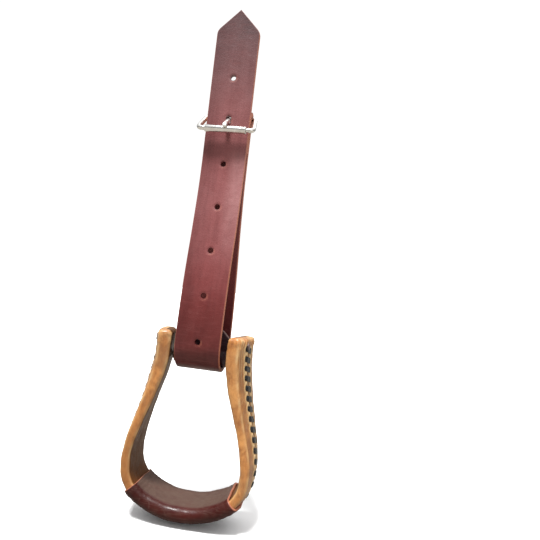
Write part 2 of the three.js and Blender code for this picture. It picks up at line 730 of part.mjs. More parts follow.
// The right leg's lacing is run up from the tread; the left leg's is its mirror image.
const legLength = (STITCH_COUNT - 1) * STITCH_PITCH + LACE_SLANT;
const legLacing = lacing(
  bellLength - FIRST_STITCH - legLength, STITCH_PITCH, STITCH_COUNT, LACE_WIDTH,
  RAWHIDE_INSIDE, RAWHIDE_OUTSIDE,
);
const treadRun = (TREAD_STITCH_COUNT - 1) * TREAD_STITCH_PITCH + LACE_SLANT;
const treadLacing = lacing(
  bellMiddle - treadRun / 2, TREAD_STITCH_PITCH, TREAD_STITCH_COUNT, TREAD_LACE_WIDTH,
  LEATHER_OUTSIDE - SLOTTED_SKIN, LEATHER_OUTSIDE,
);

function mirrored(geometries) {
  return geometries.map((geometry) => {
    const other = geometry.clone().scale(-1, 1, 1);
    const corners = [...other.index.array];
    other.setIndex(corners.reverse()); // keeps the faces outwards
    return other;
  });
}

// Shallow groove in the wood that gives the lace room under the rawhide.
function laceGroove() {
  const floor = RAWHIDE_INSIDE - LACE_THICKNESS - 2 * LACE_GAP - GROOVE_EASE;
  const from = legLacing.firstDistance - LACE_WIDTH;
  const to = bellLength - FIRST_STITCH + LACE_WIDTH;
  return outerStrip(from, to, LACE_REACH + LACE_THICKNESS, floor, OVERRUN);
}

function woodFrame() {
  const groove = laceGroove();
  const reach = 2 * COUNTERBORE_FLOOR;
  const geometry = cut(frameSolid(0), [
    groove,
    ...mirrored([groove]),
    barX(BOLT_HOLE, -reach, reach),
    barX(COUNTERBORE, COUNTERBORE_FLOOR, reach),
    barX(COUNTERBORE, -reach, -COUNTERBORE_FLOOR),
  ]);
  return piece('wood_frame', geometry, 'wood');
}

function rawhideCover() {
  const seamStart = 2 * CORNER_RADIUS;
  const seam = outerStrip(
    seamStart, bellLength - seamStart, SEAM_WIDTH / 2, RAWHIDE_INSIDE - GAP / 2,
    RAWHIDE_OUTSIDE + GAP,
  );
  const slots = laceSlots(legLacing);
  const geometry = cut(frameSolid(RAWHIDE_OUTSIDE), [
    frameSolid(RAWHIDE_INSIDE),
    seam,
    barX(BOLT_HOLE, -COUNTERBORE_FLOOR, COUNTERBORE_FLOOR),
    ...slots,
    ...mirrored(slots),
  ]);
  return piece('rawhide_cover', geometry, 'rawhide');
}

function legLaces() {
  const right = laceStrip(legLacing);
  const [left] = mirrored([right]);
  return [piece('right_lace', right, 'lace'), piece('left_lace', left, 'lace')];
}

// Leather sleeve round the tread, open along a seam underneath.
function treadLeather() {
  const skin = (grow, halfArc) => {
    const distances = stationsBetween(bellMiddle - halfArc, bellMiddle + halfArc);
    return loft(distances.map((distance) => frameSection(distance, grow)));
  };
  const past = LEATHER_HALF_ARC + OVERRUN;
  const seam = outerStrip(
    bellMiddle - past, bellMiddle + past, LEATHER_SEAM / 2, LEATHER_INSIDE - GAP / 2,
    LEATHER_OUTSIDE + OVERRUN,
  );
  const channelEnd = treadRun / 2 + TREAD_LACE_WIDTH;
  const channel = outerStrip(
    bellMiddle - channelEnd, bellMiddle + channelEnd, LACE_REACH + LACE_THICKNESS,
    LEATHER_INSIDE - GAP / 2, treadLacing.skinInside,
  );
  const inside = skin(LEATHER_INSIDE, past);
  const outside = skin(LEATHER_OUTSIDE, LEATHER_HALF_ARC);
  const geometry = cut(outside, [inside, seam, channel, ...laceSlots(treadLacing)]);
  return piece('tread_leather', geometry, 'treadLeather');
}

function treadLace() {
  return piece('tread_lace', laceStrip(treadLacing), 'lace');
}

// ---------------------------------------------------------------- assembly

// Everything is drawn from the bolt axis and then raised to its height above the tread.
const stirrup = new THREE.Group();
const hanger = new THREE.Group();
hanger.add(strap(), strapRivets(), buckle(), boltCover(), ...coverRivet(), boltSleeve());
hanger.add(...boltParts(), woodFrame(), rawhideCover(), ...legLaces(), treadLeather(), treadLace());
hanger.position.z = BOLT_HEIGHT;
stirrup.add(hanger);

export default stirrup;
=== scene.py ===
import json
import math

import bmesh
import bpy
import numpy as np
from mathutils import Matrix, Vector, noise


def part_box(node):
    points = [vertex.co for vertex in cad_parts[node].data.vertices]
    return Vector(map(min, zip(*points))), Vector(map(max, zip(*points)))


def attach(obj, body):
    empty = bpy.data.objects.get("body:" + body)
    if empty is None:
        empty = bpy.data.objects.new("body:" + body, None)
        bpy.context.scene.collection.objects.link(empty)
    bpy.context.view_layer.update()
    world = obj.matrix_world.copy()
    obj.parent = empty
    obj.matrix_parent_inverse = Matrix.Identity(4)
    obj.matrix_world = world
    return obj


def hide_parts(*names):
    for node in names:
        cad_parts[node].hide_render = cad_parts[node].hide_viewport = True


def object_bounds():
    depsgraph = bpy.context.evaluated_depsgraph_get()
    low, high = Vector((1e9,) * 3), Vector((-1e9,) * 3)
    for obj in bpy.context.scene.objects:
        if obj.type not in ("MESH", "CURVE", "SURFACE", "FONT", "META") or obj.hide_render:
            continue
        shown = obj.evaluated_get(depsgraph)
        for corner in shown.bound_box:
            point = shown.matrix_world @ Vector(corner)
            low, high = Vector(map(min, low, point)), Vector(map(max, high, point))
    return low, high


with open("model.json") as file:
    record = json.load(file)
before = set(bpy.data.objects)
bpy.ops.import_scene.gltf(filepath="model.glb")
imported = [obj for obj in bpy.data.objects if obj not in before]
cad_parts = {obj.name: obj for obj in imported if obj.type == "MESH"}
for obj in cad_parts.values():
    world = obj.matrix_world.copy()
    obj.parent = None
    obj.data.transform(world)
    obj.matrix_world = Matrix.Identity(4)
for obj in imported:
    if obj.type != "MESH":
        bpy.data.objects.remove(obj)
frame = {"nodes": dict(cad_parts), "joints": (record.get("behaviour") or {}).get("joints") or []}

CAD_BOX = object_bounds()

# Shapes below are drawn in millimetres from the bolt axis, and raised to it when they become meshes.
MM = 0.001


def joint_place(name):
    """Where a joint's axis is, in metres."""
    return next(j for j in frame["joints"] if j["name"] == name)["pos_m"]


BOLT_Z = joint_place("stirrup_swing")[2]
PIVOT_Y = joint_place("buckle_hinge")[1] / MM
PIVOT_Z = (joint_place("buckle_hinge")[2] - BOLT_Z) / MM
ROLLER_Y = joint_place("roller_spin")[1] / MM
ROLLER_Z = (joint_place("roller_spin")[2] - BOLT_Z) / MM


def node_box(node):
    """A CAD node's lowest and highest corners, in millimetres from the bolt axis."""
    low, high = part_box(node)
    lift = Vector((0, 0, BOLT_Z))
    return (low - lift) / MM, (high - lift) / MM


# ---------------------------------------------------------------- small maths


def smooth(edge0, edge1, value):
    """Rises softly from 0 at the first edge to 1 at the second."""
    t = np.clip((np.asarray(value, float) - edge0) / (edge1 - edge0), 0, 1)
    return t * t * (3 - 2 * t)


def hill(distance, width):
    """1 at no distance, fading to nothing over a few widths."""
    return np.exp(-((np.asarray(distance, float) / width) ** 2))


def signed_power(value, exponent):
    return np.sign(value) * np.abs(value) ** exponent


def unit(vectors):
    return vectors / np.linalg.norm(vectors, axis=-1, keepdims=True)


def once_round(count):
    """Evenly spaced angles of a full turn."""
    return np.linspace(0, 2 * math.pi, count, endpoint=False)


def rough(points, size, seed=0.0):
    """Smooth noise between about -1 and 1 at points in millimetres, with features of a given size."""
    flat = np.reshape(points, (-1, 3)) / size
    shift = Vector((seed * 7.3, seed * 3.1, seed * 5.7))
    values = [noise.noise(Vector(p) + shift) for p in flat]
    return np.reshape(np.array(values) * 1.6, np.shape(points)[:-1])


def bezier(p0, p1, p2, p3, count=60):
    t = np.linspace(0, 1, count)[:, None]
    points = [np.array(p, float) for p in (p0, p1, p2, p3)]
    weights = [(1 - t) ** 3, 3 * t * (1 - t) ** 2, 3 * t * t * (1 - t), t ** 3]
    return sum(w * p for w, p in zip(weights, points))


def arc(centre, radius, start, end, count=60):
    angles = np.radians(np.linspace(start, end, count))[:, None]
    return np.array(centre, float) + radius * np.hstack([np.cos(angles), np.sin(angles)])


def drop_repeats(points):
    step = np.linalg.norm(np.diff(points, axis=0), axis=1)
    return points[np.concatenate([[True], step > 1e-6])]


def lengths(points):
    step = np.linalg.norm(np.diff(points, axis=0), axis=1)
    return np.concatenate([[0], np.cumsum(step)])


def resample(points, step, closed=False):
    """Points at an even spacing along a polyline."""
    if closed:
        points = np.vstack([points, points[:1]])
    points = drop_repeats(points)
    run = lengths(points)
    count = max(int(round(run[-1] / step)), 2)
    at = np.linspace(0, run[-1], count + 1)
    even = np.stack([np.interp(at, run, points[:, k]) for k in range(points.shape[1])], -1)
    return even[:-1] if closed else even


def through(points, per_span):
    """Centripetal Catmull-Rom curve through the points."""
    points = np.array(points, float)
    padded = np.vstack([2 * points[0] - points[1], points, 2 * points[-1] - points[-2]])
    spans = []
    for a, b, c, d in zip(padded[:-3], padded[1:-2], padded[2:-1], padded[3:]):
        t0, t1, t2 = (max(np.linalg.norm(q - p) ** 0.5, 1e-4) for p, q in ((a, b), (b, c), (c, d)))
        slope_b = ((b - a) / t0 - (c - a) / (t0 + t1) + (c - b) / t1) * t1
        slope_c = ((c - b) / t1 - (d - b) / (t1 + t2) + (d - c) / t2) * t1
        t = np.linspace(0, 1, per_span, endpoint=False)[:, None]
        spans.append(
            (2 * t ** 3 - 3 * t ** 2 + 1) * b + (t ** 3 - 2 * t ** 2 + t) * slope_b
            + (3 * t ** 2 - 2 * t ** 3) * c + (t ** 3 - t ** 2) * slope_c
        )
    return np.vstack([*spans, points[-1:]])


# ---------------------------------------------------------------- meshes


def shell_faces(rows, columns, wrap_rows=False):
    """Faces between rings of points, with a flat cap at each end unless the rows close up too."""
    faces = []
    for r in range(rows if wrap_rows else rows - 1):
        this, following = r * columns, (r + 1) % rows * columns
        for c in range(columns):
            d = (c + 1) % columns
            faces.append((this + c, this + d, following + d, following + c))
    if not wrap_rows:
        faces.append(tuple(reversed(range(columns))))
        faces.append(tuple(range((rows - 1) * columns, rows * columns)))
    return faces


def new_object(name, points, faces, marks):
    """A mesh object of points in millimetres, with one value per point for every mark."""
    mesh = bpy.data.meshes.new(name)
    mesh.from_pydata((points * MM + [0, 0, BOLT_Z]).tolist(), [], faces)
    for key, values in marks.items():
        layer = mesh.attributes.new(key, "FLOAT", "POINT")
        layer.data.foreach_set("value", values.astype(np.float32))
    tidy(mesh)
    made = bpy.data.objects.new(name, mesh)
    bpy.context.scene.collection.objects.link(made)
    return made


def build(name, node, parts, material, body, smooth_angle):
    """One piece from closed shells, in place of a CAD node.

    Each part is (rows, wrap_rows, {mark: one value, or one per point}).
    """
    points, faces, marks = np.zeros((0, 3)), [], {}
    for rows, wrap_rows, part_marks in parts:
        start = len(points)
        points = np.vstack([points, rows.reshape(-1, 3)])
        faces += [tuple(start + i for i in face) for face in shell_faces(*rows.shape[:2], wrap_rows)]
        for key, values in part_marks.items():
            marks[key] = np.append(marks.get(key, []), np.broadcast_to(values, rows.shape[:2]))
    piece = new_object(name, points, faces, marks)
    piece.data.materials.append(material)
    shade(piece, smooth_angle)
    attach(piece, body)
    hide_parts(node)
    return piece


def loose(name, rows):
    """A closed shell with flat ends that isn't a piece itself, to cut or join with."""
    return new_object(name, rows.reshape(-1, 3), shell_faces(*rows.shape[:2]), {})


def tidy(mesh):
    """Merges points that meet, and turns every face outwards."""
    bm = bmesh.new()
    bm.from_mesh(mesh)
    bmesh.ops.remove_doubles(bm, verts=bm.verts, dist=1e-6)
    bmesh.ops.dissolve_degenerate(bm, dist=1e-7, edges=bm.edges)
    bmesh.ops.recalc_face_normals(bm, faces=bm.faces)
    bm.to_mesh(mesh)
    bm.free()


def shade(piece, angle):
    for polygon in piece.data.polygons:
        polygon.use_smooth = True
    piece.data.set_sharp_from_angle(angle=math.radians(angle))


def combine(piece, tools, operation, smooth_angle):
    """Cuts or joins a piece with tools, which are loose shells, and removes them."""
    for tool in tools:
        modifier = piece.modifiers.new("combine", "BOOLEAN")
        modifier.operation = operation
        modifier.solver = "EXACT"
        modifier.object = tool
    graph = bpy.context.evaluated_depsgraph_get()
    result = bpy.data.meshes.new_from_object(piece.evaluated_get(graph))
    piece.modifiers.clear()
    piece.data = result
    for tool in tools:
        bpy.data.objects.remove(tool)
    shade(piece, smooth_angle)


def closed_tube(path, radii, sides):
    """Rings round a closed path, with a radius for each of its points."""
    tangents = unit(np.roll(path, -1, 0) - np.roll(path, 1, 0))
    angles = once_round(sides)[:, None]
    side = np.cross(tangents[0], [0.31, 0.77, 0.55])  # any direction that is not along the path
    rings = []
    for point, along, radius in zip(path, tangents, radii):
        side = unit(side - along * (side @ along))
        up = np.cross(along, side)
        rings.append(point + radius * (np.cos(angles) * side + np.sin(angles) * up))
    return np.array(rings)


def turned(profile, centre, axis, sides):
    """A profile of (distance along the axis, radius), turned round a level axis through a centre."""
    side = unit(np.cross(axis, [0, 0, 1.0]))
    angles = once_round(sides)[:, None]
    ring = np.cos(angles) * side + np.sin(angles) * np.cross(axis, side)
    return np.array([centre + np.multiply(axis, along) + ring * radius for along, radius in profile])


# ---------------------------------------------------------------- materials


class Nodes:
    """Short names for building the nodes of a material or a world."""

    def __init__(self, owner):
        owner.use_nodes = True
        self.tree = owner.node_tree
        self.coordinates = self.add("ShaderNodeTexCoord")

    def add(self, kind, **settings):
        node = self.tree.nodes.new(kind)
        for key, value in settings.items():
            setattr(node, key, value)
        return node

    def link(self, value, socket):
        if hasattr(value, "is_linked"):
            self.tree.links.new(value, socket)
        else:
            socket.default_value = value

    def upwards(self, vector):
        node = self.add("ShaderNodeSeparateXYZ")
        self.link(vector, node.inputs[0])
        return node.outputs["Z"]

    def span(self, value, low, high, to_low=0.0, to_high=1.0):
        node = self.add("ShaderNodeMapRange")
        self.link(value, node.inputs["Value"])
        for key, number in zip(("From Min", "From Max", "To Min", "To Max"), (low, high, to_low, to_high)):
            node.inputs[key].default_value = number
        return node.outputs["Result"]

    def is_seen(self):
        """1 for what the camera sees directly, 0 for what only lights other things."""
        return self.add("ShaderNodeLightPath").outputs["Is Camera Ray"]


class Shader(Nodes):
    """One node material, drawn in the object's own coordinates."""

    def __init__(self, name):
        self.material = bpy.data.materials.new(name)
        super().__init__(self.material)
        self.bsdf = self.tree.nodes["Principled BSDF"]
        self.place = self.coordinates.outputs["Object"]

    def stretched(self, x=1.0, z=1.0):
        """Places for a texture that is drawn out along each axis given less than 1."""
        node = self.add("ShaderNodeMapping")
        self.link(self.place, node.inputs["Vector"])
        node.inputs["Scale"].default_value = (x, 1.0, z)
        return node.outputs["Vector"]

    def noise(self, size_mm, detail, roughness=0.5, distortion=0.0, vector=None):
        node = self.add("ShaderNodeTexNoise")
        self.link(vector or self.place, node.inputs["Vector"])
        node.inputs["Scale"].default_value = 1 / (size_mm * MM)
        node.inputs["Detail"].default_value = detail
        node.inputs["Roughness"].default_value = roughness
        node.inputs["Distortion"].default_value = distortion
        return node.outputs["Fac"]

    def cells(self, size_mm):
        node = self.add("ShaderNodeTexVoronoi", feature="SMOOTH_F1")
        self.link(self.place, node.inputs["Vector"])
        node.inputs["Scale"].default_value = 1 / (size_mm * MM)
        return node.outputs["Distance"]

    def maths(self, operation, a, b, clamp=False):
        node = self.add("ShaderNodeMath", operation=operation, use_clamp=clamp)
        self.link(a, node.inputs[0])
        self.link(b, node.inputs[1])
        return node.outputs[0]

    def mottle(self, noise_settings, low, high, to_low=0.0, to_high=1.0):
        """Noise, with its levels from low to high spread over the whole range."""
        return self.span(self.noise(*noise_settings), low, high, to_low, to_high)

    def marked(self, name, share):
        """A share of one of the mesh's marks, never above 1."""
        mark = self.add("ShaderNodeAttribute", attribute_name=name).outputs["Fac"]
        return self.maths("MULTIPLY", mark, share, clamp=True)

    def blend(self, share, a, b):
        node = self.add("ShaderNodeMix", data_type="RGBA")
        self.link(share, node.inputs["Factor"])
        self.link(a if hasattr(a, "is_linked") else (*a, 1), node.inputs["A"])
        self.link(b if hasattr(b, "is_linked") else (*b, 1), node.inputs["B"])
        return node.outputs["Result"]

    def over(self, colour, mask, share, other):
        """Lays a share of another colour over the first, where the mask is."""
        return self.blend(self.maths("MULTIPLY", mask, share), colour, other)

    def bumps(self, *layers):
        """Relief from layers of (height, depth in millimetres)."""
        normal = None
        for height, depth_mm in layers:
            node = self.add("ShaderNodeBump")
            node.inputs["Distance"].default_value = depth_mm * MM
            self.link(height, node.inputs["Height"])
            if normal is not None:
                self.link(normal, node.inputs["Normal"])
            normal = node.outputs["Normal"]
        return normal

    def finish(self, colour, roughness, normal=None, metallic=0.0, **more):
        self.link(colour, self.bsdf.inputs["Base Color"])
        self.link(roughness, self.bsdf.inputs["Roughness"])
        self.bsdf.inputs["Metallic"].default_value = metallic
        if normal is not None:
            self.link(normal, self.bsdf.inputs["Normal"])
        for key, value in more.items():
            self.link(value, self.bsdf.inputs[key.replace("_", " ")])
        return self.material


def scaled(colour, factor, plus=0.0):
    return tuple(factor * c + plus for c in colour)


TAN_EDGE = (0.54, 0.170, 0.095)
TAN_EDGE_PALE = (0.68, 0.29, 0.18)
# Colour of a painted sheen, a pink-grey reflection laid into the leather.
PAINTED_SHEEN_TINT = (0.46, 0.235, 0.235)


def oiled_leather(
    name, dark, mid, worn, gloss, grain_mm=0.9, edge_share=1.0, lit_bands=(), shine=0.42, streaky=0.45,
):
    """Dyed leather: mottled colour, fine pores, soft creases, a tan cut edge where `edge` is marked, and
    painted shade and a painted sheen where those are marked.

    A lit band is a colour of painted light that grows between two heights in metres: (low, high, colour,
    share).
    """
    s = Shader(name)
    patches = s.mottle((38, 3, 0.55, 0.6), 0.32, 0.68)
    streaks = s.mottle((9, 5, 0.6, 0.3, s.stretched(z=0.28)), 0.38, 0.66)
    flecks = s.mottle((1.6, 3, 0.6), 0.35, 0.75)
    cloud = s.mottle((45, 4, 0.6, 0.5), 0.3, 0.65, 0.7)
    pulled = s.mottle((5.0, 4, 0.6, 0.2, s.stretched(z=0.05)), 0.44, 0.70)
    cracks = s.mottle((1.5, 3, 0.6, 0.3, s.stretched(x=0.10)), 0.50, 0.74)
    scuffs = s.mottle((14, 6, 0.7, 1.2), 0.60, 0.70)
    fibres = s.mottle((1.3, 4, 0.7), 0.3, 0.7)
    used = s.marked("worn", s.mottle((8, 5, 0.65, 0.6), 0.25, 0.6, 0.55))
    haze = s.marked("haze", s.mottle((12, 4, 0.6, 0.5), 0.3, 0.65, 0.5))
    edge = s.marked("edge", edge_share)

    colour = s.blend(patches, dark, mid)
    colour = s.over(colour, streaks, streaky, worn)
    colour = s.over(colour, flecks, 0.16, scaled(dark, 0.45))
    # Bands of painted light by height, as light falls down the strap.
    for low, high, lit_band_tint, share in lit_bands:
        rise = s.maths("MULTIPLY", s.span(s.upwards(s.place), low, high), cloud)
        colour = s.over(colour, rise, share, lit_band_tint)
    colour = s.over(colour, pulled, 0.26, scaled(mid, 0.7))
    colour = s.over(colour, cracks, 0.22, scaled(worn, 1.5, 0.02))
    colour = s.over(colour, used, 0.85, worn)
    colour = s.over(colour, scuffs, 0.22, scaled(worn, 1.4, 0.03))
    # A painted sheen where it is marked.
    colour = s.blend(haze, colour, PAINTED_SHEEN_TINT)
    # Tan where the edge mark is: the cut edge, and on the strap also a painted highlight below each hole.
    colour = s.blend(edge, colour, s.blend(fibres, TAN_EDGE, TAN_EDGE_PALE))
    colour = s.blend(s.marked("shade", 0.8), colour, scaled(dark, 0.25))

    creases, pores, fine = s.noise(6.5, 6, 0.62, 0.8), s.cells(grain_mm), s.noise(0.55, 4, 0.65)
    base = s.mottle((11, 5, 0.6), 0.3, 0.7, gloss - 0.07, gloss + 0.10)
    dull = s.maths("MULTIPLY", s.maths("MAXIMUM", edge, used), 0.25)
    return s.finish(
        colour, s.maths("ADD", base, dull, clamp=True),
        s.bumps((creases, 0.30), (pores, 0.10), (fine, 0.07)),
        Coat_Weight=0.12, Coat_Roughness=0.20, Specular_IOR_Level=shine,
    )


def rawhide_skin():
    """Varnished rawhide: amber with orange-brown blotches, pale wear, painted highlights along its ridges,
    painted shade and fine wrinkles.
    """
    s = Shader("rawhide_skin")
    long_grain = s.stretched(z=0.35)
    shade = s.marked("shade", 1.05)
    colour = s.blend(s.mottle((16, 5, 0.6, 1.1), 0.36, 0.64), (0.31, 0.115, 0.030), (0.57, 0.27, 0.084))
    for noise_settings, low, high, share, other in (
        ((34, 3, 0.5, 0.4), 0.35, 0.65, 0.55, (0.56, 0.22, 0.055)),
        ((5.5, 6, 0.68, 0.9, long_grain), 0.47, 0.70, 0.62, (0.22, 0.066, 0.014)),
        ((22, 4, 0.6, 0.8, long_grain), 0.50, 0.66, 0.60, (0.24, 0.110, 0.045)),
        ((2.4, 5, 0.7, 0.4, s.stretched(z=0.10)), 0.55, 0.78, 0.35, (0.62, 0.40, 0.17)),
    ):
        colour = s.over(colour, s.mottle(noise_settings, low, high), share, other)
    colour = s.blend(s.marked("amber", 0.6), colour, (0.26, 0.095, 0.020))
    # Pale where worn, and painted highlights along the ridges.
    colour = s.blend(s.marked("pale", 0.80), colour, (0.72, 0.50, 0.24))
    colour = s.blend(shade, colour, (0.052, 0.019, 0.007))
    wrinkles = s.noise(3.6, 6, 0.66, 0.9, long_grain)
    fibres = s.noise(0.8, 5, 0.7, 0.0, s.stretched(z=0.22))
    return s.finish(
        colour, s.mottle((7, 5, 0.6), 0.3, 0.7, 0.28, 0.48),
        s.bumps((wrinkles, 0.55), (s.cells(1.5), 0.10), (fibres, 0.10)),
        Coat_Weight=s.span(shade, 0, 0.7, 0.28, 0.0), Coat_Roughness=0.2,
        Specular_IOR_Level=s.span(shade, 0, 0.7, 0.45, 0.08),
    )


def lace_leather():
    """Black lace with a dull sheen, brown where it is marked pale."""
    s = Shader("lace_leather")
    tone = s.mottle((3.2, 4, 0.6), 0.35, 0.7)
    colour = s.blend(tone, (0.004, 0.004, 0.005), (0.016, 0.016, 0.018))
    colour = s.blend(s.marked("pale", 1.0), colour, (0.20, 0.125, 0.11))
    normal = s.bumps((s.noise(2.2, 5, 0.65, 0.5), 0.25), (s.noise(0.5, 3, 0.6), 0.06))
    return s.finish(colour, s.span(tone, 0, 1, 0.26, 0.42), normal, Specular_IOR_Level=0.4)


def plated_metal(name, bright, dull, smoothest, roughest, scratch_mm=0.5):
    """Metal with soft dents and with fine scratches across it."""
    s = Shader(name)
    colour = s.blend(s.mottle((6, 5, 0.6, 0.5), 0.35, 0.65), bright, dull)
    scratches = s.noise(scratch_mm, 3, 0.6, 0.0, s.stretched(x=0.12))
    normal = s.bumps((scratches, 0.02), (s.noise(4, 3, 0.5), 0.06))
    return s.finish(colour, s.mottle((2.5, 5, 0.65), 0.3, 0.7, smoothest, roughest), normal, metallic=1.0)


def bent_wood():
    """Hardwood with its grain along the bend."""
    s = Shader("bent_wood")
    rings = s.add("ShaderNodeTexWave", wave_type="BANDS", bands_direction="Y")
    s.link(s.stretched(x=0.35, z=0.12), rings.inputs["Vector"])
    rings.inputs["Scale"].default_value = 300
    rings.inputs["Distortion"].default_value = 3.0
    rings.inputs["Detail"].default_value = 3.0
    colour = s.blend(rings.outputs["Fac"], (0.40, 0.22, 0.095), (0.56, 0.36, 0.18))
    fibres = s.noise(0.8, 4, 0.6, 0.0, s.stretched(z=0.08))
    return s.finish(colour, s.span(fibres, 0.3, 0.7, 0.5, 0.7), s.bumps((fibres, 0.12)))


STRAP_LEATHER = oiled_leather(
    "strap_leather", (0.055, 0.005, 0.005), (0.092, 0.010, 0.009), (0.140, 0.030, 0.028),
    gloss=0.42, shine=0.30,
    # Painted light by height: paler and pinker up the middle of the strap, darker towards its tip.
    lit_bands=(
        (0.15, 0.26, (0.190, 0.034, 0.033), 0.85),
        (0.22, 0.34, (0.285, 0.098, 0.100), 0.85),
        (0.40, 0.47, (0.225, 0.098, 0.100), 0.60),
        (0.45, 0.55, (0.078, 0.046, 0.050), 0.95),
    ),
)
COVER_LEATHER = oiled_leather(
    "cover_leather", (0.030, 0.007, 0.011), (0.055, 0.015, 0.022), (0.10, 0.05, 0.065),
    gloss=0.34, grain_mm=0.8, edge_share=0.30,
)
TREAD_LEATHER = oiled_leather(
    "tread_leather", (0.032, 0.003, 0.002), (0.058, 0.008, 0.006), (0.092, 0.056, 0.041),
    gloss=0.36, grain_mm=1.1, edge_share=0.7, shine=0.16, streaky=0.12,
)
RAWHIDE = rawhide_skin()
LACE = lace_leather()
WOOD = bent_wood()
NICKEL = plated_metal("nickel_plate", (0.86, 0.85, 0.82), (0.70, 0.68, 0.64), 0.13, 0.24)
TONGUE_METAL = plated_metal("tongue_plate", (0.92, 0.91, 0.88), (0.80, 0.79, 0.75), 0.30, 0.42)
STEEL = plated_metal("zinc_steel", (0.62, 0.62, 0.61), (0.45, 0.45, 0.44), 0.26, 0.42)
COPPER = plated_metal("copper", (0.93, 0.52, 0.33), (0.74, 0.33, 0.18), 0.22, 0.38, scratch_mm=0.8)

# ---------------------------------------------------------------- strap

STRAP_LOW, STRAP_HIGH = node_box("strap")
STRAP_HALF = STRAP_HIGH.x
STRAP_THICKNESS = 5.0
STRAP_COLUMNS = 35
STRAP_STEP = 1.3
STRAP_EDGE = 1.0
POINT_HEIGHT = 25.4
POINT_HALF = 0.6
BILLET_Y = -6.0
BILLET_STRAIGHT_Z = 235.0
REAR_STRAIGHT_Z = 225.0
LOOP_EASE = 90.0
LOOP_RADIUS = STRAP_HIGH.y - STRAP_THICKNESS / 2
LOOP_CENTRE_Z = STRAP_LOW.z + STRAP_THICKNESS / 2 + LOOP_RADIUS
TAIL_LENGTH = 43.0
TAIL_GAP = 0.6
TAIL_Y = BILLET_Y + STRAP_THICKNESS + TAIL_GAP
REAR_GAP = 0.4
REAR_Y = TAIL_Y + STRAP_THICKNESS + REAR_GAP
EYE_RADIUS = PIVOT_Y - TAIL_Y
FOLD_FLARE = 15.0
HOLE_RADIUS = 3.25
HOLE_PITCH = 50.8
HOLE_STEPS = range(-5, 2)  # down and up from the hole in use
TONGUE_HOLE_Z = PIVOT_Z - 8
TONGUE_HOLE_STRETCH = 3.2
HOLE_WIDENING = 1e-3  # of the stretch
SLOT_HALF = 3.5
SLOT_DEPTH = 11.0
CUT_BEYOND = 0.25
RIVET_X = 12.0
RIVET_Z = PIVOT_Z - 21


def strap_path():
    """Side view of the middle of the leather as (y, z), from the tip down, round and up to the tail's end."""
    tip_z = STRAP_HIGH.z
    flare_z = PIVOT_Z - FOLD_FLARE
    eye_rear = PIVOT_Y + EYE_RADIUS
    loop_low = LOOP_CENTRE_Z + LOOP_EASE
    return drop_repeats(np.vstack([
        [(BILLET_Y, tip_z), (BILLET_Y, BILLET_STRAIGHT_Z)],
        bezier(
            (BILLET_Y, BILLET_STRAIGHT_Z), (BILLET_Y, BILLET_STRAIGHT_Z - LOOP_EASE),
            (-LOOP_RADIUS, loop_low), (-LOOP_RADIUS, LOOP_CENTRE_Z),
        ),
        arc((0, LOOP_CENTRE_Z), LOOP_RADIUS, 180, 360),
        bezier(
            (LOOP_RADIUS, LOOP_CENTRE_Z), (LOOP_RADIUS, loop_low),
            (REAR_Y, REAR_STRAIGHT_Z - LOOP_EASE), (REAR_Y, REAR_STRAIGHT_Z),
        ),
        [(REAR_Y, REAR_STRAIGHT_Z), (REAR_Y, flare_z)],
        bezier(
            (REAR_Y, flare_z), (REAR_Y, flare_z + FOLD_FLARE / 2),
            (eye_rear, PIVOT_Z - FOLD_FLARE / 2), (eye_rear, PIVOT_Z),
        ),
        arc((PIVOT_Y, PIVOT_Z), EYE_RADIUS, 0, 180),
        [(TAIL_Y, PIVOT_Z), (TAIL_Y, PIVOT_Z - TAIL_LENGTH)],
    ]))


def leather_section(half_thickness, columns, edge_round):
    """Outline of a flat strap of half-width 1 as (share of the width, inset from it, height, edge mark)."""
    share = np.linspace(-1, 1, columns)
    front = [(q, 0.0, -half_thickness, 0.0) for q in share]
    corner = np.radians([30, 60, 90])
    right = [
        (1.0, edge_round * math.sin(a), -half_thickness + edge_round * (1 - math.cos(a)), 0.35 + 0.2 * i)
        for i, a in enumerate(corner)
    ]
    lift = [(1.0, edge_round, h, 1.0) for h in (-0.4, 0.4)]
    side = right + lift + [(q, i, -h, e) for q, i, h, e in reversed(right)]
    back = [(q, 0.0, half_thickness, 0.0) for q in share[::-1]]
    left = [(-q, i, -h, e) for q, i, h, e in side]
    return front + side + back + left


def strap_holes():
    """Centres of the billet's holes, with how far each is pulled upwards."""
    return [
        (TONGUE_HOLE_Z + step * HOLE_PITCH, TONGUE_HOLE_STRETCH if step == 0 else 0.0)
        for step in HOLE_STEPS
    ]


def leather_band(path, half, thickness, columns, edge_round, side):
    """A flat band that follows a path of (y, z), with its half-width at each place.

    Gives its rows of points, the edge mark of each point, and the way the band's first face looks:
    to one side of the path (1) or to the other (-1).
    """
    along = unit(np.gradient(path, axis=0))
    outwards = side * np.stack([along[:, 1], -along[:, 0]], -1)
    section = leather_section(thickness / 2, columns, edge_round)
    rows = np.zeros((len(path), len(section), 3))
    edge = np.zeros(rows.shape[:2])
    for c, (share, inset, height, mark) in enumerate(section):
        rows[:, c, 0] = share * (half - edge_round) + math.copysign(inset, share) * (abs(share) == 1)
        rows[:, c, 1:] = path - height * outwards
        edge[:, c] = mark
    return rows, edge, outwards


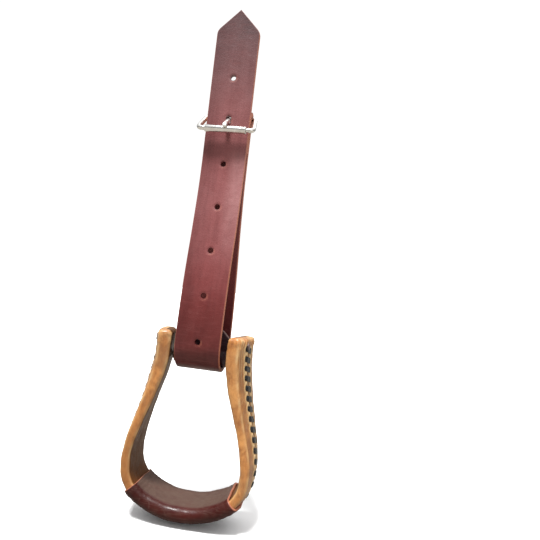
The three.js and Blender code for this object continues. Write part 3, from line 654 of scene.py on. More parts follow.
def strap_piece():
    path = resample(strap_path(), STRAP_STEP)
    run = lengths(path)
    half = np.minimum(STRAP_HALF, POINT_HALF + (STRAP_HALF - POINT_HALF) * run / POINT_HEIGHT)
    half -= 0.8 * hill(run - POINT_HEIGHT, 2.0)  # eases the point's shoulders
    rows, edge, outwards = leather_band(path, half, STRAP_THICKNESS, STRAP_COLUMNS, STRAP_EDGE, 1)
    x, z = rows[..., 0], rows[..., 2]
    before_loop = run < STRAP_HIGH.z - LOOP_CENTRE_Z + 12
    in_front = (before_loop & (z[:, 0] > LOOP_CENTRE_Z - 1))[:, None]

    # Each punched hole is dished, with painted shade at its rim and a painted highlight below it on the
    # right.
    dent, shade_mark, rim_highlight = (np.zeros(edge.shape) for _ in range(3))
    for hole_z, stretch in strap_holes():
        dz = np.maximum(np.abs(z - hole_z - stretch / 2) - stretch / 2, 0)
        gone = np.hypot(x, dz) - HOLE_RADIUS
        near = in_front & (gone < 12)
        dent += near * (-0.40 * hill(np.maximum(gone, 0), 1.1) + 0.08 * hill(gone - 2.6, 1.4))
        shade_mark += near * 0.60 * hill(np.maximum(gone, 0), 0.8)
        below_right = np.clip((x - (z - hole_z)) / (gone + HOLE_RADIUS + 0.1), 0, 1)
        rim_highlight += near * 0.22 * hill(gone - 1.3, 0.7) * below_right

    # Painted shadow below the roller, painted shade down the strap's left side, and a painted sheen on its
    # right side between the loop and the buckle.
    below_roller = ROLLER_Z - z
    roller_shadow = smooth(2, 8, below_roller) * (1 - smooth(22, 40, below_roller))
    shade_mark += in_front * (0.16 * roller_shadow + 0.30 * smooth(2, 24, -x))
    lit_run = smooth(90, 190, z) * (1 - smooth(PIVOT_Z - 60, PIVOT_Z - 35, z))
    haze = 0.55 * in_front * lit_run * smooth(2, 18, x)

    # The leather is a little wavy, but nowhere stands out from the loop.
    wave = rough(rows * [0.6, 0, 1], 42, 1.0) * 0.35 + rough(rows, 15, 2.0) * 0.10
    above_loop = smooth(LOOP_CENTRE_Z + 5, LOOP_CENTRE_Z + 40, z)
    first_face = np.arange(edge.shape[1]) < STRAP_COLUMNS
    push = wave * above_loop + np.where(first_face, dent, -0.3 * dent)
    push = np.where(push > 0, push * above_loop, push)
    rows[..., 1:] += push[..., None] * outwards[:, None]
    # The edge mark also carries the painted highlight below each hole.
    marks = {"edge": np.clip(edge + rim_highlight, 0, 1), "shade": shade_mark, "haze": haze}
    band = [(rows, False, marks)]
    piece = build("strap_leather_band", "strap", band, STRAP_LEATHER, "strap", 50)
    combine(piece, strap_cutters(), "DIFFERENCE", 50)


def stadium_cutter(name, low_z, high_z, radius, front_y, back_y):
    """A bar through the leather with a round top and bottom in the front view."""
    outline = np.vstack([
        arc((0, high_z), radius, 0, 180, 17),
        arc((0, low_z), radius, 180, 360, 17),
    ])
    return loose(name, np.array([[(x, y, z) for x, z in outline] for y in (front_y, back_y)], float))


def strap_cutters():
    front = -LOOP_RADIUS - 20
    behind = BILLET_Y + STRAP_THICKNESS / 2 + CUT_BEYOND
    straight = 0.01  # keeps the two half circles of a round hole apart
    cutters = []
    for z, stretch in strap_holes():
        radius = HOLE_RADIUS + HOLE_WIDENING * stretch
        cutters.append(stadium_cutter("punch", z, z + stretch + straight, radius, front, behind))
    slot_low = PIVOT_Z - SLOT_DEPTH + SLOT_HALF
    slot_high = PIVOT_Z + 2 * EYE_RADIUS
    slot_front = TAIL_Y - STRAP_THICKNESS / 2 - CUT_BEYOND
    slot_back = PIVOT_Y + 2 * EYE_RADIUS
    return [*cutters, stadium_cutter("slot", slot_low, slot_high, SLOT_HALF, slot_front, slot_back)]


# ---------------------------------------------------------------- rivets


def rivet_profile(head_y, burr_y):
    """Domed head, shank and hammered peen, as (distance along the axis, radius)."""
    head = [(head_y, 0.0), (head_y + 0.05, 2.4), (head_y + 0.3, 4.1), (head_y + 0.75, 4.75)]
    neck = [(head_y + 1.1, 4.6), (head_y + 1.15, 1.7), (burr_y + 1.3, 1.7)]
    peen = [(burr_y + 1.35, 2.9), (burr_y + 1.75, 2.75), (burr_y + 2.3, 1.9), (burr_y + 2.65, 0.9)]
    return head + neck + peen + [(burr_y + 2.7, 0.0)]


def burr_profile(burr_y):
    """A domed washer, as (distance along the axis, radius)."""
    return [
        (burr_y, 1.9), (burr_y, 4.4), (burr_y + 0.25, 4.75), (burr_y + 0.7, 4.7),
        (burr_y + 1.05, 4.2), (burr_y + 1.2, 2.6), (burr_y + 1.1, 1.9),
    ]


def hammered(profile, x, y, z, sides, amount, seed):
    """A turned rivet part with the small flats of one that was set by hand; y is where it was struck."""
    rows = turned(profile, (x, 0, z), (0, 1, 0), sides)
    offset = rows - np.array((x, y, z))
    bumps = rough(rows, 2.2, seed)[..., None] * amount
    return rows + offset / (np.linalg.norm(offset, axis=-1, keepdims=True) + 1e-6) * bumps


def rivet_pieces(name, x, z, head_y, burr_y, material, body, seed):
    rivet = hammered(rivet_profile(head_y, burr_y), x, burr_y, z, 32, 0.12, seed)
    burr = hammered(burr_profile(burr_y), x, burr_y, z, 40, 0.08, seed + 1)
    for node, rows, is_ring in ((name, rivet, False), (name.replace("rivet", "rivet_burr"), burr, True)):
        build(node + "_set", node, [(rows, is_ring, {})], material, body, 60)


def all_rivets():
    tail_face = TAIL_Y - STRAP_THICKNESS / 2
    rear_face = REAR_Y + STRAP_THICKNESS / 2 + 0.3
    for seed, (side, x) in enumerate((("left", -RIVET_X), ("right", RIVET_X))):
        rivet_pieces(
            f"strap_rivet_{side}", x, RIVET_Z, tail_face, rear_face, COPPER, "strap", 3 + seed,
        )
    low, high = node_box("cover_rivet")
    burr_low, _ = node_box("cover_rivet_burr")
    middle_z = (low.z + high.z) / 2
    rivet_pieces("cover_rivet", 0, middle_z, low.y, burr_low.y, NICKEL, "bolt_cover", 8)


# ---------------------------------------------------------------- buckle

WIRE_RADIUS = 2.75
BAR_RADIUS = 2.45
FRAME_HALF_PIVOT = 28.95
FRAME_HALF_ROLLER = 32.3
FRAME_ROUND = 6.0
ROLLER_HALF = node_box("buckle_roller")[1].x
ROLLER_RADIUS = 4.0
ROLLER_SEAM_ANGLE = 2.2
ROLLER_SEAM_DEPTH = 0.22
BUCKLE_REACH = math.hypot(PIVOT_Z - ROLLER_Z, PIVOT_Y - ROLLER_Y)
BUCKLE_DROP = math.atan2(PIVOT_Z - ROLLER_Z, PIVOT_Y - ROLLER_Y)
TONGUE_DROP = math.radians(31.2)
TONGUE_REACH = 37.0
TONGUE_TIP = 2.6
TONGUE_BEND_AT = 30.3
TONGUE_BEND_RADIUS = 6.6
TONGUE_RING = 4.1
TONGUE_START = 3.9
TONGUE_HALF_WIDE = 2.85
TONGUE_HALF_THICK = 2.0


def hung(flat, down):
    """Points drawn flat as (x, distance from the pivot bar, lift), turned down from level about it."""
    flat = np.array(flat, float)
    y = PIVOT_Y - flat[..., 1] * math.cos(down) - flat[..., 2] * math.sin(down)
    z = PIVOT_Z - flat[..., 1] * math.sin(down) + flat[..., 2] * math.cos(down)
    return np.stack([flat[..., 0], y, z], -1)


def round_corner(corner, before, after, radius, count=9):
    corner, before, after = (np.array(p, float) for p in (corner, before, after))
    start = corner + unit(before - corner) * radius
    end = corner + unit(after - corner) * radius
    t = np.linspace(0, 1, count)[:, None]
    return (1 - t) ** 2 * start + 2 * t * (1 - t) * corner + t * t * end


def buckle_frame_piece():
    """A wire bent into a rounded frame, thinner where it runs through the roller."""
    corners = [
        (FRAME_HALF_ROLLER, BUCKLE_REACH), (FRAME_HALF_PIVOT, 0),
        (-FRAME_HALF_PIVOT, 0), (-FRAME_HALF_ROLLER, BUCKLE_REACH),
    ]
    outline = np.vstack([
        round_corner(corners[i], corners[i - 1], corners[(i + 1) % 4], FRAME_ROUND) for i in range(4)
    ])
    path = resample(outline, 1.0, closed=True)
    inside_roller = (path[:, 1] > BUCKLE_REACH - 0.5) & (np.abs(path[:, 0]) < ROLLER_HALF + 0.6)
    radii = np.where(inside_roller, BAR_RADIUS, WIRE_RADIUS)
    rings = closed_tube(hung(np.column_stack([path, np.zeros(len(path))]), BUCKLE_DROP), radii, 22)
    build("buckle_frame_wire", "buckle_frame", [(rings, True, {})], NICKEL, "buckle_frame", 50)


def buckle_roller_piece():
    """A tube with rounded ends, rolled from sheet: its seam is a shallow groove along it."""
    half = ROLLER_HALF
    bore = BAR_RADIUS + 0.3
    r = ROLLER_RADIUS
    right_end = [
        (half - 0.5, r), (half - 0.15, r - 0.15), (half, r - 0.5), (half, bore + 0.3), (half - 0.1, bore),
    ]
    left_end = [(-along, radius) for along, radius in reversed(right_end)]
    centre = np.array([0, ROLLER_Y, ROLLER_Z])
    rows = turned([*left_end, (0, r), *right_end], centre, (1, 0, 0), 48)
    radial = (rows - centre) * [0, 1, 1]
    from_seam = np.arctan2(radial[..., 2], radial[..., 1]) - ROLLER_SEAM_ANGLE
    on_outside = np.hypot(radial[..., 1], radial[..., 2]) > r - 0.2
    rows -= radial / r * (ROLLER_SEAM_DEPTH * hill(from_seam, 0.07) * on_outside)[..., None]
    build("buckle_roller_tube", "buckle_roller", [(rows, True, {})], NICKEL, "buckle_roller", 50)


def tongue_ring():
    """The band round the pivot bar, of squarish section."""
    around, section = once_round(40)[:, None], once_round(16)
    radius = TONGUE_RING + signed_power(np.cos(section), 0.6)
    x = np.broadcast_to(2.9 * signed_power(np.sin(section), 0.6), (40, 16))
    return hung(np.stack([x, radius * np.cos(around), radius * np.sin(around)], -1), TONGUE_DROP)


def tongue_shank():
    """The flat tapered tongue: straight as far as the roller, bent down over it, with a rounded tip."""
    angles = once_round(24)
    c, d = signed_power(np.cos(angles), 0.75), signed_power(np.sin(angles), 0.75)
    tip_start = TONGUE_REACH - TONGUE_TIP
    tip_runs = tip_start + TONGUE_TIP * np.sin(np.linspace(0.1, math.pi / 2, 9))
    rows = []
    for run in np.concatenate([np.linspace(TONGUE_START, tip_start, 30), tip_runs]):
        tip = math.sqrt(max(1 - max((run - tip_start) / TONGUE_TIP, 0) ** 2, 0.0004))
        wide = (TONGUE_HALF_WIDE - 0.3 * smooth(12, 30, run)) * tip
        thick = (TONGUE_HALF_THICK - 0.3 * smooth(20, 34, run)) * tip
        bend = max(run - TONGUE_BEND_AT, 0) / TONGUE_BEND_RADIUS
        radius = TONGUE_BEND_RADIUS + thick * d
        distance = min(run, TONGUE_BEND_AT) + radius * math.sin(bend)
        rows.append(np.column_stack([wide * c, distance, radius * math.cos(bend) - TONGUE_BEND_RADIUS]))
    return hung(rows, TONGUE_DROP)


def buckle_tongue_piece():
    ring = [(tongue_ring(), True, {})]
    piece = build("buckle_tongue_bar", "buckle_tongue", ring, TONGUE_METAL, "buckle_tongue", 50)
    combine(piece, [loose("shank", tongue_shank())], "UNION", 50)


# ---------------------------------------------------------------- bolt cover and bolt

_, COVER_HIGH = node_box("bolt_cover")
COVER_THICKNESS = 3.0
COVER_WRAP = COVER_HIGH.y - COVER_THICKNESS / 2
COVER_FILLET = 5.0
COVER_CHAMFER = 10.0
COVER_COLUMNS = 41
COVER_STEP = 0.9
COVER_EDGE = 0.9
PLY_Y = (COVER_THICKNESS + 0.3) / 2
SLEEVE_BORE = 4.4


def cover_path():
    """Side view of the middle of the cover as (y, z): down one ply, round the bolt and up the other."""
    fillet_y = PLY_Y + COVER_FILLET
    fillet_z = math.sqrt((COVER_WRAP + COVER_FILLET) ** 2 - fillet_y ** 2)
    lean = math.degrees(math.atan2(fillet_z, fillet_y))
    return drop_repeats(np.vstack([
        [(-PLY_Y, COVER_HIGH.z)],
        arc((-fillet_y, fillet_z), COVER_FILLET, 0, -lean),
        arc((0, 0), COVER_WRAP, 180 - lean, 360 + lean),
        arc((fillet_y, fillet_z), COVER_FILLET, 180 + lean, 180),
        [(PLY_Y, COVER_HIGH.z)],
    ]))


def bolt_cover_piece():
    path = resample(cover_path(), COVER_STEP)
    half = COVER_HIGH.x - np.clip(path[:, 1] - (COVER_HIGH.z - COVER_CHAMFER), 0, COVER_CHAMFER)
    rows, edge, outwards = leather_band(path, half, COVER_THICKNESS, COVER_COLUMNS, COVER_EDGE, -1)
    # Lumpy, with its two ends flared a little; calmer where its plies lie close together.
    lumps = rough(rows, 7, 5.0) * 0.22 + rough(rows * [2.4, 1, 1], 9, 6.0) * 0.18
    lumps += 0.14 * smooth(22, 33, np.abs(rows[..., 0]))
    lumps *= 1 - 0.75 * smooth(8, 14, rows[..., 2])
    rows[..., 1:] += lumps[..., None] * outwards[:, None]
    shells = [(rows, False, {"edge": edge})]
    build("bolt_cover_leather", "bolt_cover", shells, COVER_LEATHER, "bolt_cover", 55)


def bolt_sleeve_piece():
    low, high = node_box("bolt_sleeve")
    outer, bore, chamfer = high.y, SLEEVE_BORE, 0.5
    profile = [
        (low.x, bore + chamfer), (low.x, outer - chamfer), (low.x + chamfer, outer),
        (high.x - chamfer, outer), (high.x, outer - chamfer), (high.x, bore + chamfer),
        (high.x - chamfer, bore), (low.x + chamfer, bore),
    ]
    rows = turned(profile, (0, 0, 0), (1, 0, 0), 64)
    build("bolt_sleeve_tube", "bolt_sleeve", [(rows, True, {})], STEEL, "bolt_sleeve", 35)


# ---------------------------------------------------------------- bent frame

# Right half of the bent wood's centreline, from the leg top down, as (x, height from the bolt).
BELL = [
    (43.5, 26), (43.5, 8), (44, -4), (46, -17), (53.7, -50), (62, -80),
    (66.3, -100), (67.7, -118), (64.5, -137), (54, -151.8), (24, -166),
]
BELL_BOTTOM = -168.9
NECK_THICKNESS = 11.8
TREAD_THICKNESS = 7.2
TAPER = (-75, -5)  # heights between which the wood thickens from tread to neck
# The legs' outer faces turn towards the front as they rise from the tread.
LEG_LEAN = math.radians(11.5)
LEAN_RISE = (-160, 5)
WOOD_DEPTH = 46.6
WOOD_CROWN = 2.2
CORNER = 3.5
FLAT_HALF_DEPTH = WOOD_DEPTH / 2 - CORNER
SKIN_CORNER = 1.5
RIDGE_INSET = 6.5
TANGENT_REACH = 0.8
RAWHIDE_INSIDE = 0.3
RAWHIDE_OUTSIDE = 1.7
LEATHER_INSIDE = 2.0
LEATHER_OUTSIDE = 5.2
LEATHER_HALF_ARC = 63.0
FRAME_STEP = 1.5

bell_points = through([(-x, z) for x, z in BELL] + [(0, BELL_BOTTOM)] + BELL[::-1], 60)
bell_run = lengths(bell_points)
BELL_LENGTH = bell_run[-1]
BELL_MIDDLE = BELL_LENGTH / 2


def on_bell(distance):
    """Places (x, z) along the centreline, up to its ends."""
    return np.array([np.interp(distance, bell_run, bell_points[:, k]) for k in (0, 1)])


def bell_at(distance):
    """Centre, outward and depth directions and wood thickness at distances along the bend."""
    distance = np.atleast_1d(np.asarray(distance, float))
    inside = np.clip(distance, 0, BELL_LENGTH)
    along = on_bell(inside + TANGENT_REACH) - on_bell(inside - TANGENT_REACH)
    along /= np.hypot(*along)
    x, z = on_bell(inside) + along * (distance - inside)
    dx, dz = along
    thickness = TREAD_THICKNESS + (NECK_THICKNESS - TREAD_THICKNESS) * smooth(*TAPER, z)
    lean = (LEG_LEAN * smooth(*LEAN_RISE, z))[..., None]
    square = np.stack([dz, 0 * dz, -dx], -1)
    level = np.array([0.0, 1.0, 0.0])
    outwards = square * np.cos(lean) - level * np.sin(lean)
    depth = level * np.cos(lean) + square * np.sin(lean)
    return np.stack([x, 0 * x, z], -1), outwards, depth, thickness


def on_frame(distance, out, across):
    """Points a distance out from the bend's centreline and across its depth."""
    centre, outwards, depth, _ = bell_at(distance)
    return centre + outwards * out[..., None] + depth * across[..., None]


def frame_columns(outer, corner, inner):
    """Places round the section: (face, share). Outer and inner faces run -1 to 1, corners 0 to 1."""
    columns = [("outer", q) for q in signed_power(np.linspace(-1, 1, outer), 1.25)]
    columns += [("out_back", q) for q in np.linspace(0, 1, corner + 1)[1:-1]]
    columns += [("inner", q) for q in np.linspace(1, -1, inner)]
    columns += [("in_front", q) for q in np.linspace(0, 1, corner + 1)[1:-1]]
    return columns


def on_face(columns, wanted):
    """1 for each column on one face, 0 for the others."""
    return np.array([float(face == wanted) for face, _ in columns])


def section_point(face, share, u, v, r, crown):
    """(out, across, direction) of a place on the section: half-thickness u, half-depth v, corners r."""
    if face == "outer":
        rise = crown * (1 - share * share)
        return u + rise, share * (v - r), (1.0, 2 * crown * share / max(v - r, 1))
    if face == "inner":
        return -u - 0.25 * (1 - share * share), share * (v - r), (-1.0, 0.0)
    # Half turns from the outer face round to the inner one, flat in the middle.
    side = 1 if face == "out_back" else -1
    turn = share if side > 0 else 1 - share
    flat = max(u - r, 0.0)
    total = math.pi * r + 2 * flat
    along = turn * total
    if along < math.pi * r / 2:
        a = along / r
        return flat + r * math.cos(a), side * (v - r + r * math.sin(a)), (math.cos(a), side * math.sin(a))
    if along < math.pi * r / 2 + 2 * flat:
        return flat - (along - math.pi * r / 2), side * v, (0.0, float(side))
    a = (along - 2 * flat) / r
    return -flat + r * math.cos(a), side * (v - r + r * math.sin(a)), (math.cos(a), side * math.sin(a))


def frame_rings(stations, columns, corner=CORNER):
    """Rings of a skin over the wood, with the way each point faces and its place across the depth.

    Each station is (distance, growth, inset): the section grows, corners too, and is then drawn in.
    """
    rows = np.zeros((len(stations), len(columns), 3))
    push = np.zeros_like(rows)
    across = np.zeros(rows.shape[:2])
    centres, outwards, depths, thicknesses = bell_at([station[0] for station in stations])
    for i, (_, grow, inset) in enumerate(stations):
        u = max(float(thicknesses[i]) / 2 + grow - inset, 0.02)
        v = WOOD_DEPTH / 2 + grow - inset
        r = min(max(corner + grow - inset, 0.8), u)
        for c, (face, share) in enumerate(columns):
            out, side, (du, dv) = section_point(face, share, u, v, r, WOOD_CROWN * min(u / 3, 1))
            rows[i, c] = centres[i] + outwards[i] * out + depths[i] * side
            push[i, c] = (outwards[i] * du + depths[i] * dv) / math.hypot(du, dv)
            across[i, c] = side
    return rows, push, across


def frame_stations(grow, step):
    """Stations of the whole frame, with its leg tops rounded over and drawn in to a ridge."""
    edge = CORNER + grow
    top = [(-grow, grow, edge + RIDGE_INSET * inset) for inset in np.linspace(1, 0, 9)[:-1]]
    top += [
        (-grow + edge * (1 - math.cos(angle)), grow, edge * (1 - math.sin(angle)))
        for angle in np.radians(np.linspace(0, 90, 8))
    ]
    middle = np.arange(edge - grow + step, BELL_LENGTH - edge + grow - step / 2, step)
    body = [(d, grow, 0.0) for d in middle]
    end = [(BELL_LENGTH - d, g, i) for d, g, i in reversed(top)]
    return top + body + end


# ---------------------------------------------------------------- lacing

LACE_REACH = 6.75
LACE_SLANT = 4.0
LACE_TAIL = [(0.2, 0.2, 2.2), (0.9, 0.8, 3.7), (2.6, 2.2, 3.9), (4.2, 3.6, 3.9)]
LACE_TAIL_ROWS = 18
STITCH_PITCH = 11.4
STITCH_COUNT = 15
FIRST_STITCH = 10.0
TREAD_STITCHES = 9
TREAD_PITCH = 12.0
LEG_RUN = (STITCH_COUNT - 1) * STITCH_PITCH + LACE_SLANT
LEG_START = BELL_LENGTH - FIRST_STITCH - LEG_RUN
TREAD_START = BELL_MIDDLE - ((TREAD_STITCHES - 1) * TREAD_PITCH + LACE_SLANT) / 2


def stitches(start, pitch, count):
    """Every (distance, side) where a lace goes through its leather, from end to end."""
    holes = []
    for i in range(count):
        near = start + i * pitch
        holes += [(near, 1), (near + LACE_SLANT, -1)]
    return holes


def pucker(distance, across, on_outer, holes, strength):
    """How a laced skin dips at its holes and rises round them, with painted shade in the dips and pale marks
    round them.
    """
    lift, dark, pale = (np.zeros(across.shape) for _ in range(3))
    for at, side in holes:
        gone = np.hypot((distance - at) * 0.85, across - side * LACE_REACH)
        lift += -1.1 * strength * hill(gone, 2.3) + 0.85 * strength * hill(gone - 4.2, 1.4)
        dark += 0.9 * hill(gone, 2.1)
        pale += 0.95 * hill(gone - 4.3, 1.4)
    return lift * on_outer, dark * on_outer, pale * on_outer


def lace_path(start, pitch, count, above, below):
    """Middle of the lace as (distance, across, height): over each stitch and back underneath."""
    between = (above + below) / 2
    stops = []
    for near, _ in stitches(start, pitch, count)[::2]:
        far = near + LACE_SLANT
        stops += [
            (near, LACE_REACH, below), (near, LACE_REACH + 0.1, between),
            (near + 0.3, LACE_REACH * 0.80, above + 0.1), ((near + far) / 2, 0.0, above + 0.1),
            (far - 0.3, -LACE_REACH * 0.80, above + 0.1),
            (far, -LACE_REACH - 0.1, between), (far, -LACE_REACH, below),
        ]
    return through(stops, 5)


def lace_piece(node, start, pitch, count, skin, inner, width, thickness, has_tail, mirrored):
    """A soft lace as one closed strip. Its section is a lens, widest between the holes."""
    spine = lace_path(start, pitch, count, skin + thickness * 0.30, inner)
    if has_tail:
        last = spine[-1]
        spine = np.vstack([spine[:-1], through([last, *(last + np.array(LACE_TAIL))], 6)])
    distance, across, height = spine.T
    _, outward, depth, wood = bell_at(distance)
    crown = WOOD_CROWN * (1 - np.clip(np.abs(across) / FLAT_HALF_DEPTH, 0, 1) ** 2)
    centre = on_frame(distance, wood / 2 + crown + height, across)
    along = unit(np.gradient(centre, axis=0))
    onwards = np.cross(outward, depth)
    wide = unit(onwards - along * np.sum(onwards * along, 1)[:, None])
    up = np.cross(along, wide)
    over = smooth(skin - 1.0, skin + 0.6, height)
    half_wide = width / 2 * (0.74 + 0.26 * over * (1 - 0.35 * (across / LACE_REACH) ** 2))
    half_thick = thickness / 2 * (0.8 + 0.2 * over)
    angles = once_round(16)
    c, d = signed_power(np.cos(angles), 0.8), signed_power(np.sin(angles), 0.9)
    rows = (
        centre[:, None] + wide[:, None] * (half_wide[:, None] * c)[..., None]
        + up[:, None] * (half_thick[:, None] * d)[..., None]
    )
    rows += rough(rows, 2.6, 9.0)[..., None] * 0.12
    pale = np.zeros(rows.shape[:2])
    if has_tail:
        pale[-LACE_TAIL_ROWS:] = smooth(0, 12, np.arange(LACE_TAIL_ROWS))[:, None]
    if mirrored:
        rows = rows * [-1, 1, 1]
    build(node + "_strip", node, [(rows, False, {"pale": pale})], LACE, "stirrup", 60)


def all_laces():
    for side in ("right", "left"):
        lace_piece(
            f"{side}_lace", LEG_START, STITCH_PITCH, STITCH_COUNT, skin=RAWHIDE_OUTSIDE, inner=-0.9,
            width=6.6, thickness=1.7, has_tail=True, mirrored=side == "left",
        )
    lace_piece(
        "tread_lace", TREAD_START, TREAD_PITCH, TREAD_STITCHES, skin=LEATHER_OUTSIDE,
        inner=LEATHER_OUTSIDE - 2.2, width=4.6, thickness=1.3, has_tail=False, mirrored=False,
    )


# ---------------------------------------------------------------- rawhide and tread leather


def rawhide_piece():
    columns = frame_columns(45, 7, 23)
    stations = frame_stations(RAWHIDE_OUTSIDE, FRAME_STEP)
    rows, push, across = frame_rings(stations, columns, SKIN_CORNER)
    distance = np.array([station[:1] for station in stations])
    from_top = np.minimum(distance, BELL_LENGTH - distance)
    on_outer, on_inner = on_face(columns, "outer"), on_face(columns, "inner")
    right_leg = stitches(LEG_START, STITCH_PITCH, STITCH_COUNT)
    both_legs = right_leg + [(BELL_LENGTH - at, side) for at, side in right_leg]

    # The seam is a groove with a soft lip either side, and the lace draws the skin in at its holes.
    laced = on_outer * smooth(2, 8, from_top)
    lift, dark, pale = pucker(distance, across, laced, both_legs, 1.0)
    seam = hill(across, 0.85) * on_outer * smooth(3, 9, from_top)
    lift -= 1.25 * seam
    lift += 0.25 * hill(np.abs(across) - 2.4, 1.8) * laced * (0.6 + 0.4 * rough(rows, 5, 3.0))

    # The whole skin is uneven; it wrinkles over the leg tops and creases lengthwise below them.
    top_wrinkle = 1 - smooth(4, 22, from_top)
    lift += rough(rows, 24, 1.0) * 0.40 + rough(rows, 8, 2.0) * 0.20
    lift += top_wrinkle * (rough(rows * [1, 1.6, 1], 5.5, 4.0) * 0.75 + rough(rows, 2.8, 5.0) * 0.28)
    creases = np.sin(across * 1.15 + rough(rows, 18, 6.0) * 4.0)
    crease_zone = on_outer * (1 - smooth(15, 62, from_top)) * smooth(4, 12, np.abs(across))
    lift += 0.30 * creases * crease_zone
    rows += push * lift[..., None]

    # Pale where it is worn, on the creases and round the holes; along the corners' ridges the pale is a
    # painted highlight.
    turn = np.array([share if "_" in face else -1 for face, share in columns])
    ridge = hill(turn - 0.16, 0.09) + hill(turn - 0.84, 0.09)
    crest = np.clip(creases, 0, 1) * crease_zone * 0.6
    wear_and_glint = np.clip(0.25 + 0.9 * rough(rows, 11, 7.0), 0, 1)
    # Darker amber low on the left leg, off its outer face.
    lower_left_amber = 1.1 * smooth(45, 120, -rows[..., 2]) * smooth(0, 10, -rows[..., 0]) * (1 - on_outer)
    # Painted shade in the seam, at the lace holes and over the inner faces.
    marks = {
        "pale": np.clip(pale + 0.7 * ridge * (0.35 + wear_and_glint) + crest + 0.55 * top_wrinkle * wear_and_glint, 0, 1),
        "shade": np.clip(dark * 0.8 + seam * 0.9 + 0.80 * on_inner, 0, 1),
        "amber": on_outer * smooth(3, 12, from_top) * (0.75 + 0.5 * rough(rows, 13, 9.0)) + lower_left_amber,
    }
    inner_rows, _, _ = frame_rings(frame_stations(RAWHIDE_INSIDE, 6.0), frame_columns(15, 4, 9))
    shells = [(rows, False, marks), (inner_rows, False, {"pale": 0, "shade": 1, "amber": 0})]
    build("rawhide_skin_cover", "rawhide_cover", shells, RAWHIDE, "stirrup", 70)


def leather_stations():
    """Once round the wrap's thickness: outside, over one cut end, back inside, and up the other end.

    Each place is (distance from the middle, growth, how much it is a cut edge).
    """
    lip, half = 1.0, LEATHER_HALF_ARC
    outside = [(d, LEATHER_OUTSIDE, 0.0) for d in np.linspace(-half + lip, half - lip, 92)]
    end = [
        (half - lip + lip * math.sin(angle), LEATHER_OUTSIDE - lip + lip * math.cos(angle), cut)
        for angle, cut in ((0.5, 0.4), (1.0, 0.8), (1.57, 1.0))
    ]
    end += [(half, LEATHER_INSIDE + 1.2, 1.0), (half - 0.3, LEATHER_INSIDE + 0.25, 1.0)]
    inside = [(d, LEATHER_INSIDE, 0.0) for d in np.linspace(half - 1.2, -half + 1.2, 22)]
    return outside + end + inside + [(-d, grow, cut) for d, grow, cut in reversed(end)]


def tread_leather_piece():
    columns = frame_columns(45, 11, 41)
    places = leather_stations()
    rows, push, across = frame_rings([(BELL_MIDDLE + d, grow, 0.0) for d, grow, _ in places], columns)
    offset, growth, cut_end = np.array(places).T[..., None]
    outside = smooth(LEATHER_OUTSIDE - 1.2, LEATHER_OUTSIDE - 0.2, growth)
    on_outer = on_face(columns, "outer") * outside
    holes = stitches(TREAD_START, TREAD_PITCH, TREAD_STITCHES)
    lift, dark, _ = pucker(BELL_MIDDLE + offset, across, on_outer, holes, 0.7)
    seam = hill(across, 0.9) * on_outer
    ends = smooth(28, 60, np.abs(offset))
    ripple = np.sin(offset * 0.95 + rough(rows * [0.4, 1, 0.4], 16, 3.0) * 3.2) * ends
    lift -= 1.1 * seam
    lift += outside * (0.16 * ripple + rough(rows, 19, 1.0) * 0.38 + rough(rows, 6, 2.0) * 0.14 - 0.25)
    rows += push * lift[..., None]
    # The cut ends wander to and fro along the frame.
    wander = rough(rows * [0.2, 1, 0.2], 14, 8.0) * smooth(54, 63, np.abs(offset)) * np.sign(offset) * 0.9
    rows += bell_at(BELL_MIDDLE + offset + wander)[0] - bell_at(BELL_MIDDLE + offset)[0]
    marks = {
        "edge": cut_end * 0.9,
        "shade": np.clip(dark * 0.7 + seam * 0.8 + 0.06 * ripple, 0, 1),
        "worn": on_face(columns, "inner") * outside * (1 - smooth(17, 25, np.abs(across))),
    }
    wrap = [(rows, True, marks)]
    build("tread_leather_wrap", "tread_leather", wrap, TREAD_LEATHER, "stirrup", 60)


# ---------------------------------------------------------------- CAD nodes that stay


def dress_cad_nodes():
    finishes = {
        "wood_frame": WOOD, "stirrup_bolt": STEEL, "bolt_nut": STEEL,
        "bolt_washer_left": STEEL, "bolt_washer_right": STEEL,
    }
    for node, material in finishes.items():
        mesh = frame["nodes"][node].data
        mesh.materials.clear()
        mesh.materials.append(material)


# ---------------------------------------------------------------- studio

FLOOR_SIZE = 40.0
FLOOR_BOUNCE = (0.25, 0.23, 0.20)
AMBIENT = (0.14, 1.05)  # as light, at the horizon and overhead
BACKDROP = 1.05
CAMERA_PLACE = (0.132, -0.532, 0.243)
CAMERA_YAW, CAMERA_PITCH, CAMERA_ROLL = (math.radians(a) for a in (7.0, 2.55, 6.42))
CAMERA_LENS = 31.4


def floor():
    """A near-white floor that throws a duller, warmer light back up."""
    low, _ = CAD_BOX
    bm = bmesh.new()
    bmesh.ops.create_grid(bm, x_segments=8, y_segments=8, size=FLOOR_SIZE / 2)
    mesh = bpy.data.meshes.new("floor")
    bm.to_mesh(mesh)
    bm.free()
    piece = bpy.data.objects.new("floor", mesh)
    piece.location.z = low.z - 0.002
    bpy.context.scene.collection.objects.link(piece)
    s = Shader("pale_floor")
    pale = s.blend(s.noise(300, 3), (0.93, 0.93, 0.93), (0.96, 0.96, 0.96))
    mesh.materials.append(s.finish(s.blend(s.is_seen(), FLOOR_BOUNCE, pale), 0.8))


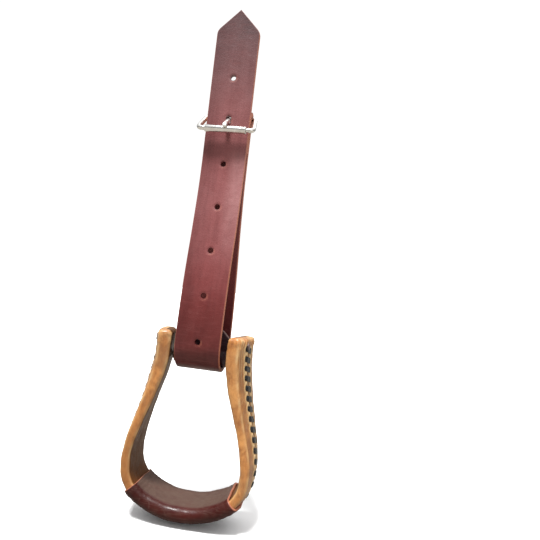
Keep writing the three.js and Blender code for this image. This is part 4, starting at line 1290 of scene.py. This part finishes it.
def soft_light(name, comes_from, strength, spread):
    """A far softbox: its light comes evenly from one direction, over a spread in degrees."""
    light = bpy.data.lights.new(name, "SUN")
    light.energy = strength
    light.angle = math.radians(spread)
    lamp = bpy.data.objects.new(name, light)
    lamp.rotation_euler = Vector(comes_from).to_track_quat("Z", "Y").to_euler()
    bpy.context.scene.collection.objects.link(lamp)


def studio():
    floor()
    world = bpy.data.worlds.new("pale_world")
    n = Nodes(world)
    background = n.tree.nodes["Background"]
    background.inputs["Color"].default_value = (1, 1, 1, 1)
    # The backdrop is white to the eye; as light, it is brighter overhead than at the horizon.
    overhead = n.span(n.upwards(n.coordinates.outputs["Generated"]), 0.0, 0.9, *AMBIENT)
    strength = n.add("ShaderNodeMix")
    n.link(n.is_seen(), strength.inputs["Factor"])
    n.link(overhead, strength.inputs["A"])
    n.link(BACKDROP, strength.inputs["B"])
    n.link(strength.outputs["Result"], background.inputs["Strength"])
    bpy.context.scene.world = world
    bpy.context.scene.view_settings.view_transform = "Standard"
    soft_light("key", (-0.15, -0.38, 1.05), 5.2, 12)
    soft_light("fill", (0.70, -0.90, 0.35), 0.40, 40)
    soft_light("top", (0.2, 0.45, 1.0), 0.5, 50)


def camera():
    data = bpy.data.cameras.new("camera")
    data.lens = CAMERA_LENS
    data.sensor_width = 36
    data.clip_start = 0.01
    view = bpy.data.objects.new("camera", data)
    bpy.context.scene.collection.objects.link(view)
    aim = Vector((
        -math.sin(CAMERA_YAW) * math.cos(CAMERA_PITCH),
        math.cos(CAMERA_YAW) * math.cos(CAMERA_PITCH),
        math.sin(CAMERA_PITCH),
    ))
    level = Vector((math.cos(CAMERA_YAW), math.sin(CAMERA_YAW), 0))
    upright = level.cross(aim)
    right = level * math.cos(CAMERA_ROLL) + upright * math.sin(CAMERA_ROLL)
    up = right.cross(aim)
    turn = Matrix((right, up, -aim)).transposed().to_4x4()
    view.matrix_world = Matrix.Translation(Vector(CAMERA_PLACE)) @ turn
    bpy.context.scene.camera = view


strap_piece()
all_rivets()
buckle_frame_piece()
buckle_roller_piece()
buckle_tongue_piece()
bolt_cover_piece()
bolt_sleeve_piece()
rawhide_piece()
all_laces()
tread_leather_piece()
dress_cad_nodes()
studio()
camera()
